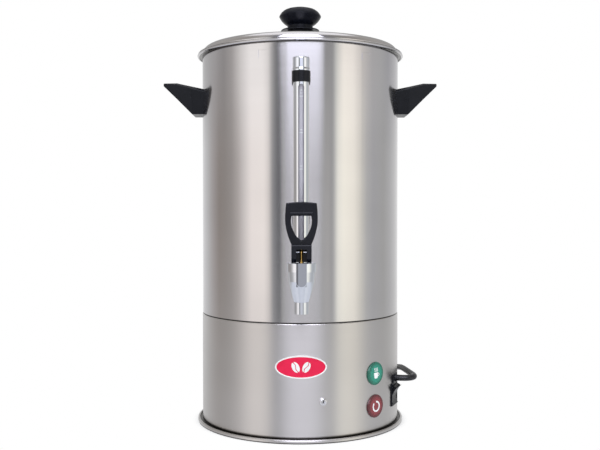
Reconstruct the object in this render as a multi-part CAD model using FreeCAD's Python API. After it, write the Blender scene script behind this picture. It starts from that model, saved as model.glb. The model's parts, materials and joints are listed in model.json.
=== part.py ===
"""Coffee urn: a percolating drink urn with a tap, a sight gauge, a lift-off lid and a mains cord.

Millimetres. The origin is the centre of the foot ring on the surface that the urn stands on.
+Z is up, the tap points along -Y, and an azimuth is counted from the tap towards +X.
"""
import FreeCAD
import Part
import math
import os

V = FreeCAD.Vector
UP = V(0, 0, 1)
DOWN = V(0, 0, -1)
os.makedirs("parts", exist_ok=True)

# Sheet metal and clearances
sheet = 0.8
seat_gap = 0.2
skin_gap = 0.05
slip_gap = 0.4
thread_gap = 0.05

# Tank
tank_radius = 125.0
inner_radius = tank_radius - sheet
seam_z = 138.0
rim_z = 463.6
rim_bead_radius = 1.4
rim_reach = 5.0
tank_corner = 1.0
well_radius = 27.0
well_depth = 14.0

# Lid lock: ribs pressed inwards near the rim, the lugs of the lid pass under them
rib_starts = (-23.2, 34.2, 156.8, 214.2)
rib_span = 6.8
rib_z = rim_z - 10.6
rib_height = 1.6
rib_depth = 1.4
rib_stop_drop = 8.0
rib_stop_span = 1.0
groove_depth = 0.6
lug_angle_from_rib = 8.6
lug_span = 5.5
lug_height = 2.4

# Base skirt and bottom cover; the foot ring is as wide as the tank's rim
skirt_radius = tank_radius + 0.4
skirt_corner = 1.5
ledge_inner_radius = skirt_radius - 13.4
foot_outer_radius = tank_radius + rim_reach + rim_bead_radius
foot_bead_width = 2.9
foot_bead_height = 4.6
foot_flange_z = 2.6
cover_raise = 4.4
cover_step_radius = skirt_radius - sheet - 3.0
vent_radius = 2.5
vent_rings = ((30.0, 8), (48.0, 12), (66.0, 16))
stud_circle = tank_radius - 29.0
stud_azimuths = (20.0, 140.0, 260.0)
stud_radius = 2.5
stud_hole_gap = 0.3
nut_height = 2.6
nut_flats = 8.0

# Heaters under the tank
plate_outer_radius = 60.0
plate_thickness = 4.0
boil_ring_radius = 50.0
warm_ring_radius = 37.0
sheath_radius = 3.6
ring_open_angle = 50.0
cold_pin_angle = 3.0
terminal_radius = 1.5
terminal_drop = 16.0
heater_azimuth = 70.0
control_radius = 8.5
control_height = 9.0
control_offset = 12.0
control_tab_drop = 7.0
control_tab_spread = 5.0
bracket_width = 20.0
bracket_sheet = 1.2

# Lid
lid_rim_radius = foot_outer_radius - 0.8
lid_wall_radius = tank_radius
lid_shoulder_radius = lid_wall_radius - 6.3
lid_shoulder_z = rim_z + 10.8
lid_top_z = rim_z + 25.6
lid_top_flat = 20.0
lid_crown = 1.0
lid_skirt_radius = inner_radius - 1.8
lid_skirt_bottom = rim_z - 14.6

# Knob
knob_radius = 26.9
knob_neck_radius = 16.3
knob_foot_z = lid_top_z + 10.4
knob_neck_z = knob_foot_z + 6.2
knob_wide_z = knob_foot_z + 17.2
knob_top_z = knob_foot_z + 29.4
knob_crown_reach = 14.5
knob_crown_drop = 2.4
knob_flare = 0.8
knob_lower_bulge = 1.2
knob_upper_bulge = 2.2
collar_radius = 24.6
collar_edge = 1.6
knob_screw_radius = 2.5
knob_screw_top = knob_foot_z + 14.4

# Side handles
handle_sections = (
    # distance from the tank, top below the rim, top half width, bevel,
    # bottom below the rim, bottom half width
    (-7.0, 44.4, 37.0, 3.8, 73.8, 20.5),
    (12.0, 40.2, 35.0, 3.6, 73.8, 20.0),
    (30.0, 35.6, 28.5, 3.0, 55.8, 21.0),
    (48.0, 34.9, 20.0, 1.4, 38.4, 19.0),
)
handle_round = 1.0
handle_dish_depth = 2.5
handle_dish_margin = 6.0
handle_dish_corner = 6.0
handle_screw_spread = 22.0
handle_screw_z = rim_z - 55.6
handle_screw_radius = 2.0
handle_screw_bite = 12.0
small_head_radius = 3.8
small_head_height = 2.2

# Tap
tap_y = -(tank_radius + 45.0)
shank_z = seam_z + 51.0
shank_radius = 9.0
shank_bore = 5.5
shank_inside = 13.0
shank_flange_radius = 14.0
shank_flange_thickness = 3.0
gasket_thickness = 2.2
shank_nut_flats = 26.0
shank_nut_height = 6.0
nozzle_tip_z = shank_z - 33.6
nozzle_radius = 8.4
nozzle_bore = 6.0
tap_seat_z = shank_z - 6.0
tap_body_top = shank_z + 12.8
tap_body_bulge = 0.35
chamber_radius = 10.5
bonnet_radius = 16.9
bonnet_top = tap_body_top + 9.5
bonnet_spigot_z = tap_body_top - 5.8
spring_pocket_radius = 7.4
spring_pocket_top = bonnet_top - 3.3
key_half_width = 5.7
key_face = bonnet_radius - 4.3
key_bottom_z = shank_z - 3.2
stem_radius = 1.6
stem_disc_radius = 7.2
stem_disc_thickness = 2.0
stem_tip_radius = 1.2
stem_eye_wall = 1.2
washer_radius = 7.8
washer_thickness = 3.0
spring_wire = 0.9
spring_radius = 5.2
spring_turns = 4
pin_radius = 1.5
pin_height = 12.0
pin_z = bonnet_top + pin_height
heel_gap = 0.3
cam_rise = 2.04

# Tap handle, seen from the front
grip_waist_z = pin_z + 8.4
grip_widest_z = grip_waist_z + 27.4
grip_top_z = grip_widest_z + 18.8
grip_half_top = 16.6
grip_half_widest = 17.7
grip_half_waist = 11.0
grip_side_bulge = 1.0
grip_crown = 1.2
grip_thickness = 9.0
grip_round = 1.2
grip_shoulder_round = 1.5
hole_top_z = grip_top_z - 15.2
hole_widest_z = hole_top_z - 5.3
hole_waist_z = hole_widest_z - 11.3
hole_bottom_z = grip_waist_z + 4.4
hole_half_width = 11.4
hole_half_top = 10.6
hole_half_waist = 8.4
hole_end_bulge = 1.2
bar_z = hole_top_z + 3.0
bar_half_width = 12.4
bar_radius = 1.3
window_half_width = 5.8
window_top_above_pin = 3.2
window_depth = 4.5

# Sight gauge
gauge_y = -(tank_radius + 15.0)
boss_radius = 8.6
boss_top_z = shank_z + 16.0
gauge_nut_radius = 9.6
gauge_nut_top = boss_top_z + 10.0
clip_top_z = rim_z - 38.6
clip_bottom_z = clip_top_z - 12.5
clip_half_width = 10.6
clip_screw_bite = 7.0
glass_radius = 5.0
glass_bore = 3.7
glass_bottom_z = boss_top_z - 9.0
glass_top_z = clip_top_z + 10.0
seal_height = 2.0
guard_radius = 8.9
guard_slot_half = 3.4
guard_slot_bottom = gauge_nut_top + 9.0
guard_slot_top = clip_bottom_z - 2.9
cap_lip_radius = 9.9
cap_radius = 9.5
cap_lip_top = clip_top_z + 3.6
cap_top_z = clip_top_z + 16.0

# Badge, lamps, front screw
badge_half_width = 30.0
badge_half_height = 13.2
badge_z = 88.0
badge_thickness = 1.0
lamp_azimuth = 45.1
ready_lamp_z = 73.4
power_lamp_z = 34.4
lens_radius = 13.8
lens_thickness = 1.8
lens_sink = 1.2
lamp_stem_radius = 6.0
lamp_stem_length = 9.0
lamp_body_depth = 24.0
front_screw_azimuth = 11.7
front_screw_z = 47.5
front_screw_head = 4.5
front_screw_radius = 2.4
front_screw_length = 14.0

# Terminal block behind the front screw
terminal_pad = 5.0
terminal_plate = 3.0
terminal_depth = 12.0
terminal_pitch = 9.0
terminal_bore = 2.6
terminal_top_z = front_screw_z - 3.0
terminal_height = 10.0

# Rocker switch and strain relief
switch_azimuth = 68.6
switch_z = 40.3
switch_half_width = 12.5
switch_half_height = 14.0
bezel_thickness = 1.0
bezel_frame = 1.2
bezel_wall = 0.8
bezel_depth = 10.0
rocker_gap = 0.2
rocker_swing = 13.0
rocker_pivot_depth = 2.0
rocker_lip_angle = 58.6
rocker_lip_reach = 13.6
rocker_lip_slope = 2.4
rocker_hollow = 3.0
rocker_base = 2.0
switch_body_depth = 24.0
switch_tab_length = 8.0
switch_tab_pitch = 7.0
relief_z = 60.1
relief_half_width = 8.2
relief_half_height = 5.3
relief_step_width = 2.0
relief_step_height = 1.3
relief_head = 1.8
relief_neck = 1.8
relief_depth = 14.0

# Mains cord
cord_radius = 3.75
cord_floor_gap = 0.05
coil_pitch = 8.1
coil_layer = 8.1
coil_width = 96.0
coil_half_turns = 5
coil_start = (0.0, 150.0)
coil_tail = 26.0
cord_lead = 12.0
cord_route = (
    (144.5, -41.0, 59.9),
    (141.0, -16.0, 59.9),
    (137.5, 6.0, 60.0),
    (134.8, 27.0, 59.5),
    (129.0, 52.0, 55.0),
    (114.0, 76.0, 44.0),
    (96.0, 98.0, 29.0),
    (77.0, 121.0, 15.0),
    (56.0, 142.0, 6.0),
    (31.0, 150.0, 3.8),
)
plug_body_length = 34.0
plug_half_width = 12.0
plug_half_height = 11.4
plug_sleeve_length = 22.0
blade_length = 16.5
blade_width = 6.3
blade_thickness = 1.5
blade_spacing = 6.35
earth_pin_radius = 2.4
earth_pin_offset = 11.9

# Wires inside the base
wire_radius = 1.1
wire_lead = 9.0
core_end_z = terminal_top_z + 10.0

# Percolator parts
tube_radius = 5.0
tube_bore = 4.2
tube_foot_z = seam_z
tube_top_z = rim_z - 15.6
bell_radius = well_radius - 3.0
bell_lip_z = seam_z - well_depth + 1.2
bell_edge = 4.0
bell_neck = 6.0
bell_sleeve_top = tube_foot_z + 18.0
basket_seat_z = tube_top_z - 118.0
basket_seat_radius = 12.0
basket_seat_height = 3.0
basket_radius = 86.0
basket_height = 74.0
basket_flange = 2.4
basket_sleeve_drop = 8.0
basket_rings = ((24.0, 8), (44.0, 14), (64.0, 20), (78.0, 24))
spreader_rise = 6.0
spreader_edge = 3.0
spreader_dome_radius = 18.0
spreader_rings = ((34.0, 10), (54.0, 16), (72.0, 20))
hole_radius = 1.6
valve_disc_radius = 3.8
valve_disc_thickness = 1.0
valve_lip = 1.2
valve_travel = 3.5

nodes = {}


def turn(shape, azimuth):
    """A copy of a shape made at the tap's side, turned about the urn's axis."""
    copy = shape.copy()
    copy.rotate(V(0, 0, 0), UP, azimuth)
    return copy


def block(x0, x1, y0, y1, z0, z1):
    return Part.makeBox(x1 - x0, y1 - y0, z1 - z0, V(x0, y0, z0))


def post(radius, z0, z1, x=0.0, y=0.0):
    return Part.makeCylinder(radius, z1 - z0, V(x, y, z0))


def spoke(radius, near, far, z, x=0.0):
    """A round bar at the tap's side from distance near to distance far from the urn's axis."""
    return Part.makeCylinder(radius, far - near, V(x, -near, z), V(0, -1, 0))


def tube(outer, inner, z0, z1, x=0.0, y=0.0):
    return post(outer, z0, z1, x, y).cut(post(inner, z0 - 1, z1 + 1, x, y))


def edges_through(points, closed=True):
    """Edges through points; a point in a list of one is the middle of an arc."""
    edges = []
    count = len(points)
    last = count if closed else count - 1
    index = 0
    while index < last:
        here, after = points[index], points[(index + 1) % count]
        if isinstance(after, list):
            end = points[(index + 2) % count]
            edges.append(Part.Arc(here, after[0], end).toShape())
            index += 2
        else:
            edges.append(Part.LineSegment(here, after).toShape())
            index += 1
    return edges


def profile(pairs, to_vector):
    return [[to_vector(*p[0])] if isinstance(p, list) else to_vector(*p) for p in pairs]


def bulged(start, end, rise):
    """The middle of an arc between two pairs that bulges by rise to the right of its way."""
    across, up = end[0] - start[0], end[1] - start[1]
    length = math.hypot(across, up)
    return (start[0] + end[0]) / 2 + up / length * rise, (start[1] + end[1]) / 2 - across / length * rise


def lathe(pairs, angle=360.0, x=0.0, y=0.0):
    """A solid turned about an upright axis at x, y from radius and height pairs."""
    points = profile(pairs, lambda r, z: V(x + r, y, z))
    face = Part.Face(Part.Wire(edges_through(points)))
    return face.revolve(V(x, y, 0), UP, angle)


def plate_in_front(pairs, y0, y1):
    """A solid cut from an outline of x and z pairs, from y0 to y1."""
    points = profile(pairs, lambda x, z: V(x, y0, z))
    face = Part.Face(Part.Wire(edges_through(points)))
    return face.extrude(V(0, y1 - y0, 0))


def band(inner, outer, z0, z1, start, span):
    """A piece of a ring between two azimuths."""
    ring = lathe([(inner, z0), (outer, z0), (outer, z1), (inner, z1)], span)
    return turn(ring, start - 90)


def hexagon(flats, z0, z1, x=0.0, y=0.0):
    corner = flats / math.sqrt(3)
    ring = [V(x + corner * math.cos(math.radians(60 * k)), y + corner * math.sin(math.radians(60 * k)), z0)
            for k in range(6)]
    return Part.Face(Part.makePolygon(ring + ring[:1])).extrude(V(0, 0, z1 - z0))


def hole_rings(radius, z0, z1, rings):
    """Round holes on circles, from pairs of a circle's radius and its number of holes."""
    holes = []
    for ring_radius, count in rings:
        for k in range(count):
            holes.append(post(radius, z0, z1, *on_circle(ring_radius, 360.0 * (k + 0.5) / count)))
    return Part.makeCompound(holes)


def to_front(shape, distance, z):
    """Lay an upright shape made at the origin down, so that its top points outwards at the tap's side."""
    copy = shape.copy()
    copy.rotate(V(0, 0, 0), V(1, 0, 0), 90)
    copy.translate(V(0, -distance, z))
    return copy


def on_circle(radius, azimuth):
    angle = math.radians(azimuth)
    return radius * math.sin(angle), -radius * math.cos(angle)


def spot_at(radius, azimuth, z, across=0.0):
    """A point at a distance from the axis and an azimuth, and across to the right of it."""
    x, y = on_circle(radius, azimuth)
    side_x, side_y = on_circle(across, azimuth + 90)
    return V(x + side_x, y + side_y, z)


def joined(shapes):
    result = shapes[0]
    for shape in shapes[1:]:
        result = result.fuse(shape)
    return result.removeSplitter()


def keep(name, shape):
    nodes[name] = shape
    shape.exportStep("parts/" + name + ".step")
    state = "" if shape.isValid() else "NOT VALID"
    print(f"{name:24s} {len(shape.Solids):3d} solids {shape.Volume:12.1f} mm3 {state}")


# Tank and its rim


def make_tank():
    well_z = seam_z - well_depth
    floor_z = seam_z + sheet
    flange_z = rim_z - sheet / 2
    bend = 1.2
    bead_centre = tank_radius + rim_reach
    bead_meet = bead_centre - math.sqrt(rim_bead_radius ** 2 - (sheet / 2) ** 2)
    slant = math.sqrt(0.5)
    shell = lathe([
        (0, well_z), (well_radius, well_z), (well_radius, seam_z), (tank_radius - tank_corner, seam_z),
        [(tank_radius - tank_corner * (1 - slant), seam_z + tank_corner * (1 - slant))],
        (tank_radius, seam_z + tank_corner), (tank_radius, flange_z - bend),
        [(tank_radius + bend * (1 - slant), flange_z - bend * (1 - slant))],
        (tank_radius + bend, flange_z), (bead_meet, flange_z),
        [(bead_centre + rim_bead_radius, rim_z)],
        (bead_meet, flange_z + sheet), (tank_radius + bend, flange_z + sheet),
        [(inner_radius + (bend + sheet) * (1 - slant), flange_z + sheet - (bend + sheet) * (1 - slant))],
        (inner_radius, flange_z - bend), (inner_radius, floor_z), (well_radius - sheet, floor_z),
        (well_radius - sheet, well_z + sheet), (0, well_z + sheet),
    ])
    ribs, grooves = [], []
    for start in rib_starts:
        low, high = rib_z - rib_height / 2, rib_z + rib_height / 2
        ribs.append(band(inner_radius - rib_depth, inner_radius + sheet / 4, low, high, start, rib_span))
        ribs.append(band(inner_radius - rib_depth, inner_radius + sheet / 4, low - rib_stop_drop, low,
                         start, rib_stop_span))
        grooves.append(band(tank_radius - groove_depth, tank_radius + 1, rib_z - groove_depth,
                            rib_z + groove_depth, start, rib_span))
        grooves.append(band(tank_radius - groove_depth, tank_radius + 1, low - rib_stop_drop, rib_z,
                            start, rib_stop_span))
    shell = joined([shell] + ribs)
    for groove in grooves:
        shell = shell.cut(groove)
    shell = shell.cut(spoke(shank_radius + slip_gap, inner_radius - 8, tank_radius + 2, shank_z))
    shell = shell.cut(spoke(handle_screw_radius + slip_gap, inner_radius - 3, tank_radius + 2,
                            (clip_bottom_z + clip_top_z) / 2))
    for side in (90, -90):
        for across in (-handle_screw_spread, handle_screw_spread):
            near, far = inner_radius - 12, tank_radius + 2
            hole = spoke(handle_screw_radius + slip_gap, near, far, handle_screw_z, across)
            shell = shell.cut(turn(hole, side))
    return shell


# Base


def make_skirt():
    inner = skirt_radius - sheet
    bead_inner = foot_outer_radius - foot_bead_width
    corner = 1.3
    slant = math.sqrt(0.5)
    flange_top = foot_flange_z + sheet
    skirt = lathe([
        (skirt_radius, flange_top), (skirt_radius, seam_z - skirt_corner),
        [(skirt_radius - skirt_corner * (1 - slant), seam_z - skirt_corner * (1 - slant))],
        (skirt_radius - skirt_corner, seam_z), (ledge_inner_radius, seam_z),
        (ledge_inner_radius, seam_z - sheet), (inner, seam_z - sheet), (inner, foot_flange_z),
        (bead_inner, foot_flange_z), (bead_inner, corner / 2), (bead_inner + corner / 2, 0),
        (foot_outer_radius - corner, 0),
        [(foot_outer_radius - corner * (1 - slant), corner * (1 - slant))],
        (foot_outer_radius, corner), (foot_outer_radius, foot_bead_height - corner),
        [(foot_outer_radius - corner * (1 - slant), foot_bead_height - corner * (1 - slant))],
        (foot_outer_radius - corner, foot_bead_height), (bead_inner + corner / 2, foot_bead_height),
        (bead_inner, foot_bead_height - corner / 2), (bead_inner, flange_top),
    ])
    for z in (ready_lamp_z, power_lamp_z):
        lamp_hole = spoke(lamp_stem_radius + slip_gap, inner - 6, skirt_radius + 2, z)
        skirt = skirt.cut(turn(lamp_hole, lamp_azimuth))
    screw_hole = spoke(front_screw_radius + slip_gap, inner - 3, skirt_radius + 2, front_screw_z)
    skirt = skirt.cut(turn(screw_hole, front_screw_azimuth))
    half_width = switch_half_width - bezel_frame + slip_gap
    half_height = switch_half_height - bezel_frame + slip_gap
    window = block(-half_width, half_width, -skirt_radius - 3, -inner + 6,
                   switch_z - half_height, switch_z + half_height)
    skirt = skirt.cut(turn(window, switch_azimuth))
    half_width = relief_half_width - relief_step_width + slip_gap
    half_height = relief_half_height - relief_step_height + slip_gap
    window = block(-half_width, half_width, -skirt_radius - 3, -inner + 6,
                   relief_z - half_height, relief_z + half_height)
    return skirt.cut(turn(window, switch_azimuth))


def make_bottom_cover():
    edge = foot_outer_radius - foot_bead_width - slip_gap
    top = foot_flange_z
    low = top - sheet
    step = cover_step_radius
    slope = 5.0
    cover = lathe([
        (0, low + cover_raise), (step - slope, low + cover_raise), (step, low), (edge, low), (edge, top),
        (step + 0.3, top), (step + 0.3 - slope, top + cover_raise), (0, top + cover_raise),
    ])
    above = top + cover_raise + 1
    for azimuth in stud_azimuths:
        x, y = on_circle(stud_circle, azimuth)
        cover = cover.cut(post(stud_radius + stud_hole_gap, 0, above, x, y))
    return cover.cut(hole_rings(vent_radius, 0, above, vent_rings))


def make_studs():
    thread_end = 0.6
    low = foot_flange_z - sheet + cover_raise - nut_height - thread_end
    places = [on_circle(stud_circle, azimuth) for azimuth in stud_azimuths]
    return Part.makeCompound([post(stud_radius, low, seam_z, x, y) for x, y in places])


def make_cover_nuts():
    top = foot_flange_z - sheet + cover_raise
    nuts = []
    for azimuth in stud_azimuths:
        x, y = on_circle(stud_circle, azimuth)
        nut = hexagon(nut_flats, top - nut_height, top, x, y)
        nuts.append(nut.cut(post(stud_radius + thread_gap, 0, top + 1, x, y)))
    return Part.makeCompound(nuts)


def make_badge():
    face_radius = skirt_radius + skin_gap
    outline = Part.Ellipse(V(0, 0, 0), badge_half_width, badge_half_height).toShape()
    prism = Part.Face(Part.Wire([outline])).extrude(V(0, 0, skirt_radius))
    prism = to_front(prism, skirt_radius / 2, badge_z)
    ring = tube(face_radius + badge_thickness, face_radius, badge_z - 20, badge_z + 20)
    return prism.common(ring)


# Heaters and controls under the tank


def make_heater_plate():
    return tube(plate_outer_radius, well_radius + slip_gap, seam_z - plate_thickness, seam_z)


def make_element(ring_radius):
    """A sheathed heating ring, open on one side, with two cold pins hanging from its ends."""
    centre_z = seam_z - plate_thickness - seat_gap - sheath_radius
    circle = Part.Wire([Part.Circle(V(ring_radius, 0, centre_z), V(0, 1, 0), sheath_radius).toShape()])
    ring = Part.Face(circle).revolve(V(0, 0, 0), UP, 360 - ring_open_angle)
    ring = turn(ring, heater_azimuth - 90 + ring_open_angle / 2)
    pins = []
    for side in (-1, 1):
        x, y = on_circle(ring_radius, heater_azimuth + side * (ring_open_angle / 2 + cold_pin_angle))
        pins.append(post(sheath_radius - 0.6, centre_z - terminal_drop / 2, centre_z, x, y))
        pins.append(post(terminal_radius, centre_z - terminal_drop, centre_z - terminal_drop / 2, x, y))
    return joined([ring] + pins)


def make_controls():
    """The boil thermostat, the warming thermostat and the bracket that holds them to the well."""
    well_z = seam_z - well_depth
    controls = []
    for x in (-control_offset, control_offset):
        can = post(control_radius, well_z - control_height, well_z, x)
        low = well_z - control_height
        tabs = [block(x - 3, x + 3, y - 0.4, y + 0.4, low - control_tab_drop, low)
                for y in (-control_tab_spread, control_tab_spread)]
        controls.append(joined([can] + tabs))
    return controls


def make_control_bracket():
    """A strap under both thermostats, bent up at its ends to the heater plate."""
    top = seam_z - well_depth - control_height
    reach = well_radius + 4
    plate_z = seam_z - plate_thickness
    half = bracket_width / 2
    strap = block(-reach, reach, -half, half, top - bracket_sheet, top)
    for side in (-1, 1):
        inner, outer = sorted((side * (reach - bracket_sheet), side * reach))
        strap = strap.fuse(block(inner, outer, -half, half, top - bracket_sheet, plate_z))
    for x in (-control_offset, control_offset):
        strap = strap.cut(block(x - 4, x + 4, -7, 7, top - 5, top + 1))
    return strap.removeSplitter()


def terminal_face():
    """How far from the axis the terminal block's outer face stands."""
    return skirt_radius - sheet - 1.2 - terminal_pad - terminal_plate


def make_terminal_block():
    """A screw terminal block on an angle bracket behind the front screw."""
    face = terminal_face()
    plate_back = face + terminal_plate
    pad_back = plate_back + terminal_pad
    carrier = block(-15, 15, -plate_back, -face, front_screw_z - 14, front_screw_z + 10)
    pad = block(-7, 7, -pad_back, -plate_back, front_screw_z - 7, front_screw_z + 7)
    carrier = joined([carrier, pad])
    carrier = carrier.cut(spoke(front_screw_radius + thread_gap, face - 2, pad_back + 3, front_screw_z))
    half = 1.5 * terminal_pitch + 0.5
    low = terminal_top_z - terminal_height
    terminals = block(-half, half, -face, -face + terminal_depth, low, terminal_top_z)
    for k in (-1, 0, 1):
        bore = post(terminal_bore, terminal_top_z - 3, terminal_top_z + 3, terminal_pitch * k,
                    -face + terminal_depth / 2)
        terminals = terminals.cut(bore)
    return turn(carrier, front_screw_azimuth), turn(terminals, front_screw_azimuth)


def make_screw(head_radius, head_height, radius, length):
    """A pan-head cross-recess screw, upright at the origin: the head's underside at 0, the shank below."""
    slant = math.sqrt(0.5)
    edge = head_height * 0.6
    head = lathe([
        (0, 0), (head_radius, 0), (head_radius, head_height - edge),
        [(head_radius - edge * (1 - slant), head_height - edge * (1 - slant))],
        (head_radius - edge, head_height), (0, head_height),
    ])
    screw = joined([head, post(radius, -length, 0)])
    for angle in (0, 90):
        slot = block(-head_radius * 0.5, head_radius * 0.5, -head_radius * 0.12, head_radius * 0.12,
                     head_height * 0.35, head_height + 1)
        slot.rotate(V(0, 0, 0), UP, angle)
        screw = screw.cut(slot)
    return screw


def make_front_screw():
    screw = make_screw(front_screw_head, 2.8, front_screw_radius, front_screw_length)
    return turn(to_front(screw, skirt_radius + 2 * skin_gap, front_screw_z), front_screw_azimuth)


def make_lamp(z):
    """The lens and the housing of one indicator lamp."""
    lens_face = skirt_radius + skin_gap
    disc = lathe([
        (0, 0), (lens_radius, 0), (lens_radius, lens_thickness - 0.8), (lens_radius - 0.8, lens_thickness),
        (0, lens_thickness + 0.4),
    ])
    disc = to_front(disc, skirt_radius - lens_sink, z)
    disc = disc.fuse(to_front(disc_front(lens_radius), skirt_radius - lens_sink + lens_thickness, z))
    disc = disc.cut(post(lens_face, z - 2 * lens_radius, z + 2 * lens_radius))
    stem_end = skirt_radius - lamp_stem_length
    stem = spoke(lamp_stem_radius, stem_end, lens_face + 0.5, z)
    lens = joined([disc, stem])
    housing = spoke(lamp_stem_radius + 3, stem_end - lamp_body_depth, stem_end + 5, z)
    housing = housing.cut(spoke(lamp_stem_radius + thread_gap, stem_end - thread_gap, skirt_radius, z))
    return turn(lens, lamp_azimuth), turn(housing, lamp_azimuth)


def disc_front(radius):
    """A shallow domed cap, upright at the origin."""
    slant = math.sqrt(0.5)
    edge = 1.0
    return lathe([
        (0, 0), (radius, 0), [(radius - edge * (1 - slant), edge * slant)], (radius - edge, edge),
        (0, edge + 0.3),
    ])


# Switch, strain relief, cord


def make_bezel():
    outer = skirt_radius + bezel_thickness
    frame = block(-switch_half_width, switch_half_width, -outer, -skirt_radius + 6,
                  switch_z - switch_half_height, switch_z + switch_half_height)
    frame = frame.cut(post(skirt_radius + skin_gap, switch_z - 2 * switch_half_height,
                           switch_z + 2 * switch_half_height))
    half_width = switch_half_width - bezel_frame
    half_height = switch_half_height - bezel_frame
    sleeve = block(-half_width, half_width, -skirt_radius - bezel_thickness / 2, -skirt_radius + bezel_depth,
                   switch_z - half_height, switch_z + half_height)
    inner_w, inner_h = half_width - bezel_wall, half_height - bezel_wall
    hole = block(-inner_w, inner_w, -outer - 5, -skirt_radius + bezel_depth + 2,
                 switch_z - inner_h, switch_z + inner_h)
    return turn(joined([frame, sleeve]).cut(hole), switch_azimuth)


def make_rocker():
    """The rocker in its off pose: its top lip out, its bottom lip down on the frame, its face hollow."""
    round_end = switch_half_height - bezel_frame - bezel_wall - rocker_gap
    half_width = switch_half_width - bezel_frame - bezel_wall - 1.5 * rocker_gap
    pivot = skirt_radius - rocker_pivot_depth

    def spot(reach, angle):
        turned = math.radians(angle)
        return V(-half_width, -pivot - reach * math.cos(turned), switch_z + reach * math.sin(turned))

    lip = rocker_lip_angle
    base = math.degrees(math.acos(-rocker_base / round_end))
    points = [
        spot(rocker_lip_reach, lip), [spot(rocker_hollow, 0)], spot(rocker_lip_reach, -lip),
        spot(round_end, -lip - rocker_lip_slope), [spot(round_end, -90)], spot(round_end, -base),
        spot(round_end, base), [spot(round_end, 90)], spot(round_end, lip + rocker_lip_slope),
    ]
    rocker = Part.Face(Part.Wire(edges_through(points))).extrude(V(2 * half_width, 0, 0))
    rocker.rotate(V(0, -pivot, switch_z), V(1, 0, 0), rocker_swing)
    return turn(rocker, switch_azimuth)


def make_switch_body():
    outer = skirt_radius - bezel_depth - seat_gap
    half_width = switch_half_width - bezel_frame
    half_height = switch_half_height - bezel_frame
    body = block(-half_width, half_width, -outer, -outer + switch_body_depth,
                 switch_z - half_height, switch_z + half_height)
    back = -outer + switch_body_depth
    tabs = [block(-3, 3, back, back + switch_tab_length, z - 0.4, z + 0.4)
            for z in (switch_z - switch_tab_pitch, switch_z, switch_z + switch_tab_pitch)]
    return turn(joined([body] + tabs), switch_azimuth)


def make_relief():
    outer = skirt_radius + relief_head
    head = block(-relief_half_width, relief_half_width, -outer, -skirt_radius + 4,
                 relief_z - relief_half_height, relief_z + relief_half_height)
    head = head.cut(post(skirt_radius + skin_gap, relief_z - 2 * relief_half_height,
                         relief_z + 2 * relief_half_height))
    neck_width, neck_height = relief_half_width - relief_step_width, relief_half_height - relief_step_height
    neck = block(-neck_width, neck_width, -skirt_radius - 0.5, -skirt_radius + relief_depth,
                 relief_z - neck_height, relief_z + neck_height)
    taper = Part.makeCone(relief_half_height - 0.4, cord_radius + 0.5, relief_neck,
                          V(0, -outer, relief_z), V(0, -1, 0))
    return turn(joined([head, neck, taper]), switch_azimuth)


def corner_arc(before, corner, after):
    """The arc tangent to both legs of a corner that starts at before and ends at after."""
    leg_in = (corner - before).normalize()
    leg_out = (after - corner).normalize()
    half_turn = leg_in.getAngle(leg_out) / 2
    length = (corner - before).Length
    radius = length / math.tan(half_turn)
    middle = corner + (leg_out - leg_in).normalize() * radius * (1 / math.cos(half_turn) - 1)
    return Part.Arc(before, middle, after).toShape(), radius


def rounded_path(points):
    """Straight runs joined by arcs, each as large as its two runs allow."""
    edges, radii = [], []
    start = points[0]
    for here, corner, after in zip(points, points[1:], points[2:]):
        trim = 0.45 * min((corner - here).Length, (after - corner).Length)
        arc_start = corner - (corner - here).normalize() * trim
        arc_end = corner + (after - corner).normalize() * trim
        edges.append(Part.LineSegment(start, arc_start).toShape())
        arc, radius = corner_arc(arc_start, corner, arc_end)
        edges.append(arc)
        radii.append(radius)
        start = arc_end
    edges.append(Part.LineSegment(start, points[-1]).toShape())
    return Part.Wire(edges), radii


def biarc(start, start_way, end, end_way):
    """Two arcs that leave start and reach end in the given directions and meet smoothly."""
    gap = end - start
    ways = start_way + end_way
    a = 2 * (1 - start_way.dot(end_way))
    b = 2 * gap.dot(ways)
    reach = (-b + math.sqrt(b * b + 4 * a * gap.dot(gap))) / (2 * a)
    first_corner = start + start_way * reach
    last_corner = end - end_way * reach
    meet = (first_corner + last_corner) * 0.5
    return [corner_arc(start, first_corner, meet)[0], corner_arc(meet, last_corner, end)[0]]


def sweep(path, radius, at, way):
    section = Part.Wire([Part.Circle(at, way, radius).toShape()])
    shell = Part.BRepOffsetAPI.MakePipeShell(path)
    shell.add(section)
    shell.build()
    shell.makeSolid()
    return shell.shape()


def coil_points():
    """Where each half turn starts: inwards on the floor, up in the narrowest one, and outwards on top."""
    x, y = coil_start
    z = cord_radius + cord_floor_gap
    widths = [coil_width - coil_pitch * k for k in range(coil_half_turns)]
    widths += widths[-2::-1]
    spots = [V(x, y, z)]
    side = 1
    for index, width in enumerate(widths):
        y += side * width
        side = -side
        if index == coil_half_turns - 1:
            z += coil_layer
        spots.append(V(x, y, z))
    return spots


def coil_end():
    return coil_points()[-1] + V(coil_tail, 0, 0)


def make_coil():
    spots = coil_points()
    way = V(-1, 0, 0)
    lead = 2 * cord_radius
    edges = [Part.LineSegment(spots[0] - way * lead, spots[0]).toShape()]
    for start, end in zip(spots, spots[1:]):
        edges += biarc(start, way, end, way * -1)
        way = way * -1
    edges.append(Part.LineSegment(spots[-1], coil_end()).toShape())
    path = Part.Wire(edges)
    print_least_gap(path)
    print(f"coil length {path.Length:.1f} mm")
    return sweep(path, cord_radius, spots[0] + V(lead, 0, 0), V(-1, 0, 0))


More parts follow.
